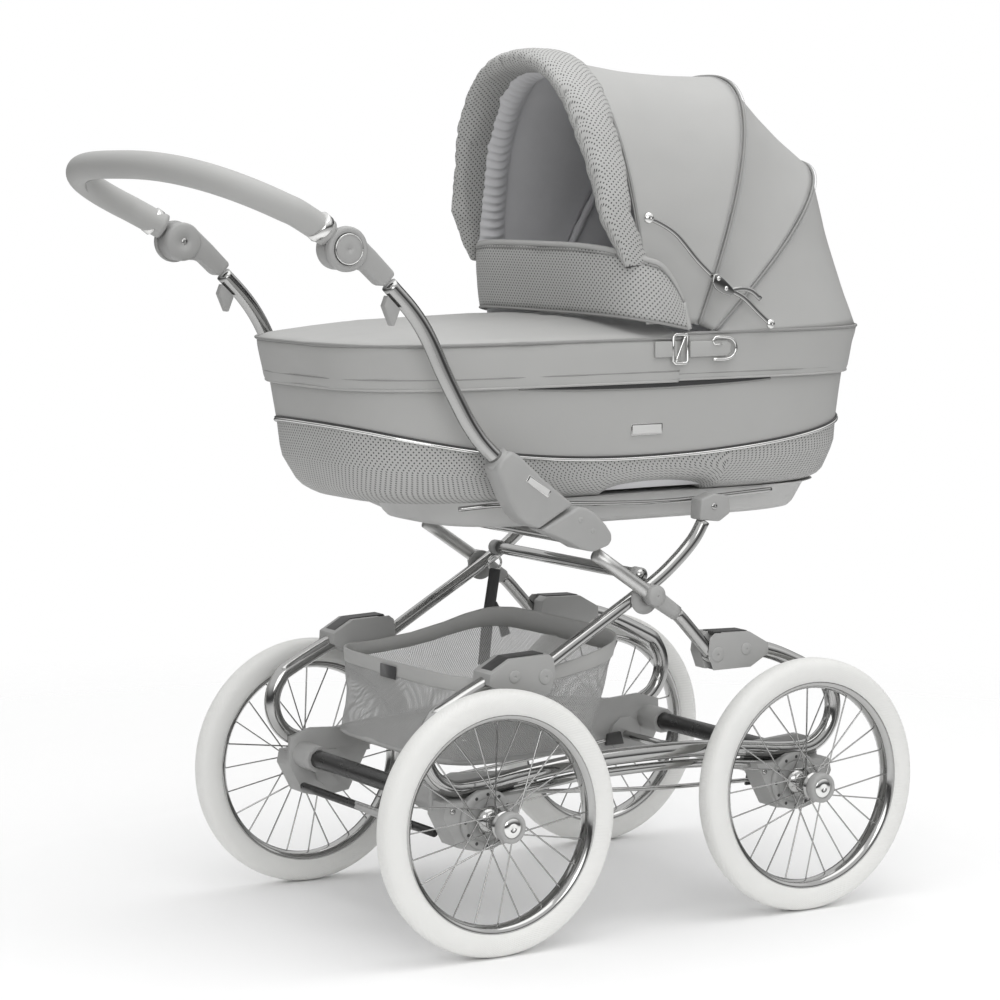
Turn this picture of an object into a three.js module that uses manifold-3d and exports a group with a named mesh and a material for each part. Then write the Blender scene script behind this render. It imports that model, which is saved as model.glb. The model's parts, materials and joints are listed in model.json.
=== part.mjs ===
// A classic coach-built baby pram: a carrycot with a folding hood on a spring-hung, scissor-legged chassis.
// Units are millimetres. +Z is up, +Y points to the pusher, and X runs across the pram.
// Every length along Y is counted from the middle of the wheelbase, and the whole pram is moved at the end.
import * as THREE from 'three';
import { mergeVertices } from 'three/addons/utils/BufferGeometryUtils.js';
import Module from 'manifold-3d';

const wasm = await Module();
wasm.setup();

// ---- Driving dimensions --------------------------------------------------------------------------
const GAP = 0.3; // clearance between neighbouring pieces
const BOX_MIDDLE_Y = 118; // middle of the pram's length, counted from the middle of the wheelbase

const WHEEL_RADIUS = 180;
const WHEELBASE = 512.8;
const TRACK_HALF = 267; // middle of a tyre from the pram's centre plane
const TYRE_HALF_WIDTH = 19;
const RIM_OUTER = 144;
const RIM_INNER = 137;
const HUB_BORE = 6.4;
const AXLE_RADIUS = 6;
const SPOKES = 20;
const TYRE_FACETS = 28;
const HUB_FACETS = 10;

const SPRING_X = 217; // the two spring tubes lie in planes this far from the centre
const SPRING_RADIUS = 11.5;
const BLOCK_X = [195, 239];
const FRONT_LEG_X = 228;
const REAR_LEG_X = 206;
const LEG_RADIUS = 9.3;
const FRONT_PIVOT = [-118, 370]; // [y, z] of the hinge pin in the front block
const REAR_PIVOT = [160, 363];
const CROSSING = [-17, 463]; // where the two legs of a side cross

const ARM_X = 237;
const ARM_RADIUS = 11;
const KNUCKLE = [472, 943]; // centre of the handlebar's tilt joint
const GRIP_RADIUS = 18;

const COT_MIDDLE_Y = -15;
const COT_FLOOR_Z = 597;
const COT_RIM_Z = 812;
const COT_WALL = 11;
const HOOD_PIVOT = [-95, 800];

// ---- Finishes ------------------------------------------------------------------------------------
const finish = (color, roughness, metalness) => new THREE.MeshStandardMaterial({ color, roughness, metalness });
const FINISH = {
  chrome: finish(0xc9c8c2, 0.15, 1),
  plastic: finish(0xa7a7a5, 0.45, 0),
  darkPlastic: finish(0x2b2b2b, 0.5, 0),
  leatherette: finish(0xa9a9a7, 0.5, 0),
  perforated: finish(0x9b9b98, 0.6, 0),
  lining: finish(0x8f8f8f, 0.9, 0),
  mesh: finish(0x8d8d8d, 0.85, 0),
  tyre: finish(0xe9e8e4, 0.6, 0),
};

// ---- Solid tools ---------------------------------------------------------------------------------
function closed(geometry) {
  // Shares the vertices of a geometry and turns its faces outward.
  const plain = geometry.index ? geometry.toNonIndexed() : geometry.clone();
  plain.deleteAttribute('normal');
  plain.deleteAttribute('uv');
  const merged = mergeVertices(plain, 1e-3);
  const place = merged.getAttribute('position');
  const corners = Array.from(merged.index.array);
  const kept = [];
  let volume = 0;
  const [a, b, c] = [new THREE.Vector3(), new THREE.Vector3(), new THREE.Vector3()];
  for (let i = 0; i < corners.length; i += 3) {
    const [p, q, r] = corners.slice(i, i + 3);
    if (p === q || q === r || r === p) continue;
    kept.push(p, q, r);
    volume += a.fromBufferAttribute(place, p).dot(
      b.fromBufferAttribute(place, q).cross(c.fromBufferAttribute(place, r)),
    );
  }
  if (volume < 0) kept.reverse();
  merged.setIndex(kept);
  return merged;
}

function toManifold(geometry) {
  const shape = closed(geometry);
  return new wasm.Manifold(new wasm.Mesh({
    numProp: 3,
    vertProperties: new Float32Array(shape.getAttribute('position').array),
    triVerts: new Uint32Array(shape.index.array),
  }));
}

function fromManifold(body) {
  const mesh = body.getMesh();
  const geometry = new THREE.BufferGeometry();
  geometry.setAttribute('position', new THREE.BufferAttribute(new Float32Array(mesh.vertProperties), 3));
  geometry.setIndex(Array.from(mesh.triVerts));
  return geometry;
}

function join(first, ...others) {
  return fromManifold(others.reduce((body, other) => body.add(toManifold(other)), toManifold(first)));
}

function cut(first, ...others) {
  return fromManifold(others.reduce((body, other) => body.subtract(toManifold(other)), toManifold(first)));
}

// ---- Shape helpers -------------------------------------------------------------------------------
const vec = (x, y, z) => new THREE.Vector3(x, y, z);
const mix = (low, high, share) => low + (high - low) * share;

function block(xs, ys, zs) {
  const shape = new THREE.BoxGeometry(xs[1] - xs[0], ys[1] - ys[0], zs[1] - zs[0]);
  return shape.translate((xs[0] + xs[1]) / 2, (ys[0] + ys[1]) / 2, (zs[0] + zs[1]) / 2);
}

// A plate with an outline in the Y-Z plane, from one X to another.
function plate(outline, xs) {
  const shape = new THREE.Shape(outline.map(([y, z]) => new THREE.Vector2(y, z)));
  const solid = new THREE.ExtrudeGeometry(shape, { depth: xs[1] - xs[0], bevelEnabled: false });
  const turn = new THREE.Matrix4().makeBasis(vec(0, 1, 0), vec(0, 0, 1), vec(1, 0, 0));
  return solid.applyMatrix4(turn).translate(xs[0], 0, 0);
}

// A round bar along X, with its axis at [y, z].
function barX(radius, xs, [y, z], sides = 16) {
  const bar = new THREE.CylinderGeometry(radius, radius, xs[1] - xs[0], sides);
  return bar.rotateY(Math.PI / sides).rotateZ(Math.PI / 2).translate((xs[0] + xs[1]) / 2, y, z);
}

// A ring turned about the X axis from a closed outline of [radius, x] points.
function turned(outline, facets) {
  const points = [...outline, outline[0]].map(([radius, x]) => new THREE.Vector2(radius, x));
  const ring = new THREE.LatheGeometry(points, facets, Math.PI / facets);
  return ring.rotateZ(-Math.PI / 2);
}

// A route through stations, so that a straight stretch of tube takes a single step.
class Route extends THREE.Curve {
  constructor(stations) {
    super();
    this.stations = stations;
  }

  getPoint(t) {
    const place = t * (this.stations.length - 1);
    const index = Math.min(Math.floor(place), this.stations.length - 2);
    return this.stations[index].clone().lerp(this.stations[index + 1], place - index);
  }

  getPointAt(u) {
    return this.getPoint(u);
  }

  getTangent(t) {
    const index = Math.round(t * (this.stations.length - 1));
    const before = this.stations[Math.max(index - 1, 0)];
    const here = this.stations[index];
    const after = this.stations[Math.min(index + 1, this.stations.length - 1)];
    const arriving = here.clone().sub(before).normalize();
    const leaving = after.clone().sub(here).normalize();
    return arriving.add(leaving).normalize();
  }

  getTangentAt(u) {
    return this.getTangent(u);
  }
}

function tube(stations, radius, sides = 8) {
  const section = new THREE.Shape();
  for (let i = 0; i < sides; i += 1) {
    const angle = (2 * Math.PI * (i + 0.5)) / sides;
    const [x, y] = [radius * Math.cos(angle), radius * Math.sin(angle)];
    if (i === 0) section.moveTo(x, y);
    else section.lineTo(x, y);
  }
  section.closePath();
  return new THREE.ExtrudeGeometry(section, {
    steps: stations.length - 1,
    extrudePath: new Route(stations),
    bevelEnabled: false,
  });
}

// A closed solid between two grids of points with the same number of rows and columns.
// A looped grid joins its last column to its first.
function between(outer, inner, looped = false) {
  const [rows, columns] = [outer.length, outer[0].length];
  const points = [...outer.flat(), ...inner.flat()];
  const at = (side, row, column) => side * rows * columns + row * columns + (column % columns);
  const corners = [];
  const quad = (p, q, r, s) => corners.push(p, q, r, p, r, s);
  const spans = looped ? columns : columns - 1;
  for (let j = 0; j < spans; j += 1) {
    for (let i = 0; i + 1 < rows; i += 1) {
      quad(at(0, i, j), at(0, i, j + 1), at(0, i + 1, j + 1), at(0, i + 1, j));
      quad(at(1, i, j), at(1, i + 1, j), at(1, i + 1, j + 1), at(1, i, j + 1));
    }
    quad(at(0, 0, j), at(1, 0, j), at(1, 0, j + 1), at(0, 0, j + 1));
    quad(at(0, rows - 1, j), at(0, rows - 1, j + 1), at(1, rows - 1, j + 1), at(1, rows - 1, j));
  }
  if (!looped) {
    for (let i = 0; i + 1 < rows; i += 1) {
      quad(at(0, i, 0), at(0, i + 1, 0), at(1, i + 1, 0), at(1, i, 0));
      quad(at(0, i, columns - 1), at(1, i, columns - 1), at(1, i + 1, columns - 1), at(0, i + 1, columns - 1));
    }
  }
  const geometry = new THREE.BufferGeometry().setFromPoints(points);
  geometry.setIndex(corners);
  return geometry;
}

// A stack of closed rings with a flat lid at each end.
function stack(rings) {
  const columns = rings[0].length;
  const points = [...rings.flat(), ...[rings[0], rings[rings.length - 1]].map((ring) => (
    ring.reduce((sum, point) => sum.add(point), vec(0, 0, 0)).divideScalar(columns)
  ))];
  const [low, high] = [rings.length * columns, rings.length * columns + 1];
  const last = (rings.length - 1) * columns;
  const corners = [];
  for (let j = 0; j < columns; j += 1) {
    const next = (j + 1) % columns;
    for (let i = 0; i < last; i += columns) {
      corners.push(i + j, i + next, i + columns + next, i + j, i + columns + next, i + columns + j);
    }
    corners.push(low, next, j, high, last + j, last + next);
  }
  const geometry = new THREE.BufferGeometry().setFromPoints(points);
  geometry.setIndex(corners);
  return geometry;
}

// The carrycot's outline at one height: straight sides and full round ends.
const COT_FULLNESS = 3.2;
const COT_END_DEPTH = 250;
function cotRing(halfWidth, rearY, frontY, z, columns = 28) {
  const ring = [];
  for (let i = 0; i < columns; i += 1) {
    const angle = (2 * Math.PI * i) / columns;
    const [c, s] = [Math.cos(angle), Math.sin(angle)];
    const x = halfWidth * Math.sign(c) * Math.abs(c) ** (2 / COT_FULLNESS);
    const bulge = COT_END_DEPTH * Math.abs(s) ** (2 / COT_FULLNESS);
    const y = s >= 0 ? rearY - COT_END_DEPTH + bulge : frontY + COT_END_DEPTH - bulge;
    ring.push(vec(x, y, z));
  }
  return ring;
}

// ---- The assembly --------------------------------------------------------------------------------
const pram = new THREE.Group();
const SIDES = [['right', -1], ['left', 1]];

function add(name, geometry, material, parent = pram) {
  const mesh = new THREE.Mesh(closed(geometry), material);
  mesh.name = name;
  parent.add(mesh);
  return mesh;
}

// Both sides' copies of a piece modelled on the left, the +X side.
function addPair(name, geometry, material) {
  for (const [side, sign] of SIDES) add(`${name}_${side}`, geometry.clone().scale(sign, 1, 1), material);
}

// ---- Wheels --------------------------------------------------------------------------------------
function tyreShape() {
  const crown = WHEEL_RADIUS / Math.cos(Math.PI / TYRE_FACETS);
  const seat = (RIM_OUTER + GAP) / Math.cos(Math.PI / TYRE_FACETS);
  const half = [
    [crown, 6],
    [crown - 9, 15],
    [crown - 23, TYRE_HALF_WIDTH],
    [seat, 11],
  ];
  return turned([...half, ...half.map(([radius, x]) => [radius, -x]).reverse()], TYRE_FACETS);
}

function wheelShape() {
  const rim = turned([[RIM_OUTER, 12], [RIM_OUTER, -12], [RIM_INNER, -8], [RIM_INNER, 8]], SPOKES);
  const hub = turned(
    [[HUB_BORE, -23], [16, -23], [16, 25], [20.5, 26], [20.5, 40], [HUB_BORE, 40]],
    HUB_FACETS,
  );
  const spokes = [];
  for (let i = 0; i < SPOKES; i += 1) {
    // Spokes run in turn to the inner and the outer end of the hub, leaning opposite ways.
    const [end, lean] = i % 2 === 0 ? [-12, 0.5] : [14, -0.5];
    const angle = (2 * Math.PI * i) / SPOKES;
    const foot = vec(end, 12 * Math.cos(angle + lean), 12 * Math.sin(angle + lean));
    const tip = vec(0, (RIM_INNER + 2) * Math.cos(angle), (RIM_INNER + 2) * Math.sin(angle));
    spokes.push(tube([foot, tip], 1.6, 3));
  }
  return join(rim, hub, ...spokes);
}

const tyre = tyreShape();
const wheel = wheelShape();
for (const [end, y] of [['front', -WHEELBASE / 2], ['rear', WHEELBASE / 2]]) {
  for (const [side, sign] of SIDES) {
    const corner = new THREE.Group();
    corner.position.set(sign * TRACK_HALF, y, WHEEL_RADIUS);
    add(`tyre_${end}_${side}`, tyre, FINISH.tyre, corner);
    add(`wheel_${end}_${side}`, wheel.clone().scale(sign, 1, 1), FINISH.chrome, corner);
    pram.add(corner);
  }
}

// ---- Spring tubes: a C-shaped spring at each end, joined by a lower rail -----------------------------
function springStations() {
  const [centreY, centreZ, bend] = [283, 278, 57];
  const half = [vec(SPRING_X, 184, 377), vec(SPRING_X, 240, 361)];
  for (let i = 0; i <= 9; i += 1) {
    const angle = THREE.MathUtils.degToRad(mix(58, -90, i / 9));
    half.push(vec(SPRING_X, centreY + bend * Math.cos(angle), centreZ + bend * Math.sin(angle)));
  }
  half.push(vec(SPRING_X, 240, 223), vec(SPRING_X, 185, 230), vec(SPRING_X, 90, 239));
  const front = half.map((point) => vec(point.x, -point.y, point.z)).reverse();
  return [...half, ...front];
}
addPair('spring_tube', tube(springStations(), SPRING_RADIUS), FINISH.chrome);
const springClearance = tube(springStations(), SPRING_RADIUS + GAP);

// ---- Axles and the plastic brackets that carry them ---------------------------------------------------
const TIE_Y = 300;
const TIE_Z = 203;
const CHEEK_X = SPRING_X - SPRING_RADIUS - GAP;
for (const [end, sign] of [['front', -1], ['rear', 1]]) {
  const y = (sign * WHEELBASE) / 2;
  const place = ([dy, dz]) => [y + sign * dy, WHEEL_RADIUS + dz];
  const saddle = [[-66, 30], [62, 27], [66, 8], [44, -34], [14, -42], [-30, -36]];
  const cheek = [[-66, 20], [-62, 54], [30, 60], [64, 50], [66, 8]];
  const body = join(plate(saddle.map(place), [196, 238]), plate(cheek.map(place), [196, CHEEK_X]));
  const housing = barX(28, [190, 241], [y, WHEEL_RADIUS], 10);
  const drum = barX(40, [2 * SPRING_X - CHEEK_X, 241], [y, WHEEL_RADIUS], 14);
  const boss = barX(19, [150, 200], [sign * TIE_Y, TIE_Z], 10);
  const axleHole = barX(AXLE_RADIUS + GAP, [140, 260], [y, WHEEL_RADIUS], 8);
  const tieHole = barX(13 + GAP, [140, 175], [sign * TIE_Y, TIE_Z], 10);
  addPair(`hub_bracket_${end}`, cut(join(body, housing, drum, boss), axleHole, tieHole), FINISH.plastic);
  add(`axle_${end}`, barX(AXLE_RADIUS, [-305, 305], [y, WHEEL_RADIUS], 8), FINISH.chrome);
  const tie = barX(13, [-174, 174], [sign * TIE_Y, TIE_Z], 10);
  add(`tie_tube_${end}`, tie, end === 'front' ? FINISH.chrome : FINISH.darkPlastic);
}

// ---- Spring blocks: the legs are hinged in them -------------------------------------------------------
function springBlock(pivot, legX, sign) {
  // The outline runs from the leg's end to the spring's end; sign is 1 at the rear.
  const profile = [[-4, -20], [-13, 4], [-10, 26], [-2, 32], [58, 30], [90, 12], [91, -3], [60, -20]];
  const body = plate(profile.map(([dy, dz]) => [pivot[0] + sign * dy, pivot[1] + dz]), BLOCK_X);
  const slotX = [legX - LEG_RADIUS - GAP, legX + LEG_RADIUS + GAP];
  const mouth = plate([
    [-20, -30], [14, -13], [14, 16], [14, 40], [-20, 40],
  ].map(([dy, dz]) => [pivot[0] + sign * dy, pivot[1] + dz]), slotX);
  const pin = barX(4, [BLOCK_X[0] + 2, BLOCK_X[1] - 2], pivot, 8);
  return join(cut(body, mouth, springClearance), pin);
}
addPair('spring_block_front', springBlock(FRONT_PIVOT, FRONT_LEG_X, -1), FINISH.plastic);
addPair('spring_block_rear', springBlock(REAR_PIVOT, REAR_LEG_X, 1), FINISH.plastic);

// ---- Scissor legs -----------------------------------------------------------------------------------
const LOCK_FOOT = [80, 527]; // where the front leg's tube enters the lock
const LEG_BEND = [-60, 432]; // under the sleeve the front leg bends down to its block
const frontLegDirection = vec(0, LOCK_FOOT[0] - LEG_BEND[0], LOCK_FOOT[1] - LEG_BEND[1]).normalize();
const onFrontLeg = (along) => vec(
  FRONT_LEG_X,
  LEG_BEND[0] + along * frontLegDirection.y,
  LEG_BEND[1] + along * frontLegDirection.z,
);
const pivotHole = (pivot) => barX(4.6, [180, 260], pivot, 8); // facets clear the pin's corners as it turns
const eye = (pivot, legX) => barX(11, [legX - LEG_RADIUS, legX + LEG_RADIUS], pivot, 12);

function frontLeg() {
  const foot = vec(FRONT_LEG_X, FRONT_PIVOT[0] + 2.7, FRONT_PIVOT[1] + 2.9);
  const knee = vec(FRONT_LEG_X, LEG_BEND[0] - 6, LEG_BEND[1] - 6.4);
  const shaft = tube([foot, knee, onFrontLeg(7), onFrontLeg(165)], LEG_RADIUS);
  const sleeve = tube([onFrontLeg(6), onFrontLeg(58)], LEG_RADIUS + 2.2);
  const cover = barX(20, [FRONT_LEG_X, 243], CROSSING, 16);
  return cut(join(shaft, sleeve, cover, eye(FRONT_PIVOT, FRONT_LEG_X)), pivotHole(FRONT_PIVOT));
}

const SUPPORT_OUTLINE = [[-108, 561], [-140, 556], [-158, 566], [-156, 590], [-131, 595], [-108, 588]];
function rearLeg() {
  const stations = [
    vec(REAR_LEG_X, REAR_PIVOT[0] - 3, REAR_PIVOT[1] + 2),
    vec(REAR_LEG_X, -38, 478),
    vec(REAR_LEG_X, -74, 505),
    vec(REAR_LEG_X, -102, 532),
    vec(REAR_LEG_X, -118, 556),
    vec(REAR_LEG_X, -123, 566),
  ];
  // A plastic support for the carrycot is riveted on the leg's upper end.
  const support = plate(SUPPORT_OUTLINE, [189, 216]);
  return cut(join(tube(stations, LEG_RADIUS), support, eye(REAR_PIVOT, REAR_LEG_X)), pivotHole(REAR_PIVOT));
}
addPair('front_leg', frontLeg(), FINISH.chrome);
addPair('rear_leg', rearLeg(), FINISH.chrome);

// A cross tube ties each pair of legs.
const CENTRE_TUBE = [-22, 485];
const LEG_INNER = FRONT_LEG_X - LEG_RADIUS;
add('centre_cross_tube', barX(8.5, [-REAR_LEG_X + 10, REAR_LEG_X - 10], CENTRE_TUBE, 10), FINISH.chrome);
const LOCK_TUBE = [104, 546];
add('lock_cross_tube', barX(8, [-LEG_INNER + 6, LEG_INNER - 6], LOCK_TUBE, 10), FINISH.chrome);

// ---- Handle locks: the handle folds forward about the joint between the two shells -------------------
const LOCK_X = [214, 256];
const lowerOutline = [[120, 595], [92, 582], [66, 556], [69, 540], [96, 531], [134, 546], [181, 565.5]];
const upperOutline = [[126, 598], [183, 566.6], [214, 585], [234, 620], [249, 650], [226, 674], [179, 637]];
const lowerShell = cut(
  plate(lowerOutline, LOCK_X),
  tube([onFrontLeg(147), onFrontLeg(167)], LEG_RADIUS + GAP),
);
addPair('lock_lower', lowerShell, FINISH.plastic);
addPair('lock_upper', plate(upperOutline, LOCK_X), FINISH.plastic);

// ---- Handle arms ------------------------------------------------------------------------------------
const ARM_ROUTE = [
  [238.6, 662.7], [254, 677], [268, 692], [284, 714], [297, 736], [319, 776], [345, 828], [369, 862], [403, 897],
];
addPair('handle_arm', tube(ARM_ROUTE.map(([y, z]) => vec(ARM_X, y, z)), ARM_RADIUS), FINISH.chrome);

const KNUCKLE_DISC = 27;
function knuckleSleeve() {
  const neck = plate([[396, 909], [412, 893.5], [442, 916], [482, 918], [449, 962], [426, 940]], [223, 248]);
  const disc = barX(KNUCKLE_DISC, [216, 248], KNUCKLE, 20);
  return join(neck, disc);
}
const armTop = tube([[380, 873.5], [403.3, 897.3]].map(([y, z]) => vec(ARM_X, y, z)), ARM_RADIUS + GAP);
addPair('knuckle_sleeve', cut(knuckleSleeve(), armTop), FINISH.plastic);

// A finger trigger under each arm pulls up along the tube to release the lock.
const armDirection = vec(0, 403 - 369, 897 - 862).normalize();
function trigger() {
  const [uy, uz] = [armDirection.y, armDirection.z];
  const place = (along, out) => [403 + along * uy + out * uz, 897 + along * uz - out * uy];
  return plate([[-34, 12.5], [-8, 12.5], [-14, 26], [-40, 36], [-43, 33]].map(
    ([along, out]) => place(along, out),
  ), [ARM_X - 6, ARM_X + 6]);
}
addPair('fold_trigger', trigger(), FINISH.plastic);

// ---- Handlebar: one padded loop between the two tilting knuckles ---------------------------------------
const GRIP_START = [492, 962];
const GRIP_END_Y = 674;
const GRIP_END_Z = 1050;
const GRIP_FULLNESS = 2.8;
function gripStations() {
  const loop = [];
  const steps = 16;
  for (let i = 0; i <= steps; i += 1) {
    const angle = (Math.PI * i) / steps;
    const reach = Math.sin(angle) ** (2 / GRIP_FULLNESS);
    const x = 247 * Math.sign(Math.cos(angle)) * Math.abs(Math.cos(angle)) ** (2 / GRIP_FULLNESS);
    loop.push(vec(x, mix(512, GRIP_END_Y, reach), mix(976, GRIP_END_Z, reach)));
  }
  const foot = (sign) => vec(sign * 240, GRIP_START[0] + 3, GRIP_START[1] + 3);
  return [foot(1), ...loop, foot(-1)];
}
const knuckleRoom = barX(KNUCKLE_DISC + 2.5, [-270, 270], KNUCKLE, 20);
add('handle_grip', cut(tube(gripStations(), GRIP_RADIUS), knuckleRoom), FINISH.leatherette);

const CAP_X = [248 + GAP, 258];
const cap = turned([[29, CAP_X[0]], [29, CAP_X[1] - 2], [26, CAP_X[1]], [20.4, CAP_X[1]], [20.4, CAP_X[0]]], 14);
addPair('knuckle_cap', cap.translate(0, ...KNUCKLE), FINISH.plastic);
addPair('knuckle_button', barX(20 * Math.cos(Math.PI / 14), [252.6, 260.5], KNUCKLE, 14), FINISH.plastic);

// ---- Brake pedal -------------------------------------------------------------------------------------
const PEDAL_PIVOT = [306, 158];
function brakePedal() {
  const shaft = barX(6, [-186, 186], PEDAL_PIVOT, 8);
  const tread = plate([[300, 156], [306, 150], [352, 172], [349, 178]], [-135, -45]);
  return join(shaft, tread);
}
add('brake_pedal', brakePedal(), FINISH.plastic);

// ---- Shopping basket -----------------------------------------------------------------------------------
function basketRing(halfWidth, frontY, rearY, frontZ, rearZ, sideDip) {
  const ring = [];
  const [middleY, halfLength] = [(frontY + rearY) / 2, (rearY - frontY) / 2];
  const columns = 24;
  for (let i = 0; i < columns; i += 1) {
    const angle = (2 * Math.PI * i) / columns;
    const [c, s] = [Math.cos(angle), Math.sin(angle)];
    const x = halfWidth * Math.sign(c) * Math.abs(c) ** 0.35;
    const y = middleY + halfLength * Math.sign(s) * Math.abs(s) ** 0.35;
    const share = (y - frontY) / (rearY - frontY);
    ring.push(vec(x, y, mix(frontZ, rearZ, share) - sideDip * Math.sin(Math.PI * share)));
  }
  return ring;
}
const basketSkin = 4;
const basketOutside = [
  basketRing(178, 20, 276, 243, 240, 0),
  basketRing(184, 5, 269, 303, 289, 2),
  basketRing(190, -14, 262, 404, 362, 14),
];
const basketInside = [
  basketRing(178 - basketSkin, 20 + basketSkin, 276 - basketSkin, 243 + basketSkin, 240 + basketSkin, 0),
  basketRing(184 - basketSkin, 5 + basketSkin, 269 - basketSkin, 303, 289, 2),
  basketRing(190 - basketSkin, -14 + basketSkin, 262 - basketSkin, 412, 370, 14),
];
add('basket', cut(stack(basketOutside), stack(basketInside)), FINISH.mesh);

// ---- Carrycot ------------------------------------------------------------------------------------------
const trayRings = [cotRing(150, 235, -365, 557, 24), cotRing(163, 255, -385, COT_FLOOR_Z - GAP, 24)];
add('cot_tray', stack(trayRings), FINISH.plastic);

const cotLevels = [
  [180, 360, -405, COT_FLOOR_Z],
  [193, 390, -425, 650],
  [203, 405, -436, 753],
  [204, 418, -448, COT_RIM_Z],
];
const cotOutside = cotLevels.map((level) => cotRing(...level));
const cotInside = cotLevels.map(([halfWidth, rear, front, z], i) => (
  cotRing(halfWidth - COT_WALL, rear - COT_WALL, front + COT_WALL, i === 0 ? z + 8 : z + (i === 3 ? 5 : 0))
));
add('cot_body', cut(stack(cotOutside), stack(cotInside)), FINISH.leatherette);

const MATTRESS = [606, 648];
const mattressRings = [cotRing(166, 345, -390, MATTRESS[0], 24), cotRing(172, 362, -402, MATTRESS[1], 24)];
add('mattress', stack(mattressRings), FINISH.lining);

// A cover hangs over the rim all round: the apron behind the buckles, and the hood's skirt before them.
const HEM_Z = 753;
const SPLIT_Y = -72;
const coverLevels = [[208, 408, -440, HEM_Z], [211, 426, -456, 806], [209, 423, -453, COT_RIM_Z + 5]];
const coverSkin = 3.6;
const skirtInside = coverLevels.map(([halfWidth, rear, front, z]) => (
  cotRing(halfWidth - coverSkin, rear - coverSkin, front + coverSkin, z)
));
const skirtSolid = between(coverLevels.map((level) => cotRing(...level)), skirtInside, true);
const crown = [[190, 404, 826], [150, 360, 834], [80, 290, 839]];
const apronRings = (inset, drop) => [
  ...coverLevels.map(([halfWidth, rear, front, z], i) => (
    cotRing(halfWidth - inset, rear - inset, front + inset, i === 0 && drop > 0 ? z - 5 : z - (i === 2 ? drop : 0))
  )),
  ...crown.map(([halfWidth, rear, z]) => cotRing(halfWidth, rear, 2 * COT_MIDDLE_Y - rear, z - drop)),
];
const apron = cut(
  stack(apronRings(0, 0)),
  stack(apronRings(coverSkin, coverSkin)),
  block([-300, 300], [-600, SPLIT_Y + GAP], [700, 900]),
);
add('apron', apron, FINISH.leatherette);

// ---- Wind flap: a stiff band that stands across the mouth of the hood ------------------------------------
function flapRows(offset) {
  const rows = [[], []];
  const columns = 16;
  for (let i = 0; i <= columns; i += 1) {
    const angle = (Math.PI * i) / columns;
    const [c, s] = [Math.cos(angle), Math.sin(angle)];
    const bulge = Math.abs(s) ** 0.5;
    const reach = (221.5 - offset) * Math.sign(c) * Math.abs(c) ** 0.5;
    const y = mix(-84, 26 - offset, bulge);
    rows[0].push(vec(reach, y, mix(822, 846, bulge)));
    rows[1].push(vec(reach * 0.98, y + 8, mix(912, 940, bulge)));
  }
  return rows;
}
add('wind_flap', between(flapRows(0), flapRows(4)), FINISH.perforated);

// ---- Hood -------------------------------------------------------------------------------------------------
// An arch stands on [y, z] at both sides, leans at an angle above the horizontal, and is rise tall.
const ARCHES = {
  front: { foot: [5, HOOD_PIVOT[1]], lean: 86, rise: 399, halfWidth: 210, fullness: 2.4 },
  middle: { foot: [HOOD_PIVOT[0], HOOD_PIVOT[1]], lean: 114, rise: 413, halfWidth: 205, fullness: 2.4 },
  rear: { foot: [-112, HOOD_PIVOT[1]], lean: 138.7, rise: 390, halfWidth: 206, fullness: 2.4 },
};
const ARCH_START = 0.055; // the share of a half turn by which fabric stops short of an arch's feet

function archPoint(arch, share, inset = 0) {
  const angle = Math.PI * share;
  const [c, s] = [Math.cos(angle), Math.sin(angle)];
  const x = (arch.halfWidth - inset) * Math.sign(c) * Math.abs(c) ** (2 / arch.fullness);
  const height = (arch.rise - inset) * Math.abs(s) ** (2 / arch.fullness);
  const lean = THREE.MathUtils.degToRad(arch.lean);
  return vec(x, arch.foot[0] + height * Math.cos(lean), arch.foot[1] + height * Math.sin(lean));
}

function archRow(arch, inset, columns = 16, start = ARCH_START) {
  const row = [];
  for (let i = 0; i <= columns; i += 1) row.push(archPoint(arch, mix(start, 1 - start, i / columns), inset));
  return row;
}

// Fabric stretched between two rows of points, sagging a little in its middle.
function stretched(first, last, sag) {
  const spans = 3;
  const rows = [];
  for (let i = 0; i <= spans; i += 1) {
    const share = i / spans;
    const dip = sag * Math.sin(Math.PI * share);
    rows.push(first.map((point, j) => {
      const here = point.clone().lerp(last[j], share);
      const inward = vec(0, -100, 830).sub(here).setLength(dip);
      return dip > 0 ? here.add(inward) : here;
    }));
  }
  return rows;
}

const HOOD_SKIN = 3;
function hoodPanel(first, last) {
  return between(
    stretched(archRow(first, 0), archRow(last, 0), 8),
    stretched(archRow(first, HOOD_SKIN), archRow(last, HOOD_SKIN), 8),
  );
}
const shifted = (arch, turn) => ({ ...arch, lean: arch.lean + turn, foot: [arch.foot[0] - turn * 1.2, arch.foot[1]] });
const ROLL_HALF = 30; // half the roll's length along the pram
const rollEdge = { ...ARCHES.front, foot: [ARCHES.front.foot[0] - ROLL_HALF - 1, HOOD_PIVOT[1]] };
add('hood_panel_front', hoodPanel(rollEdge, shifted(ARCHES.middle, -0.35)), FINISH.leatherette);
add('hood_panel_middle', hoodPanel(shifted(ARCHES.middle, 0.35), shifted(ARCHES.rear, -0.35)), FINISH.leatherette);

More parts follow.
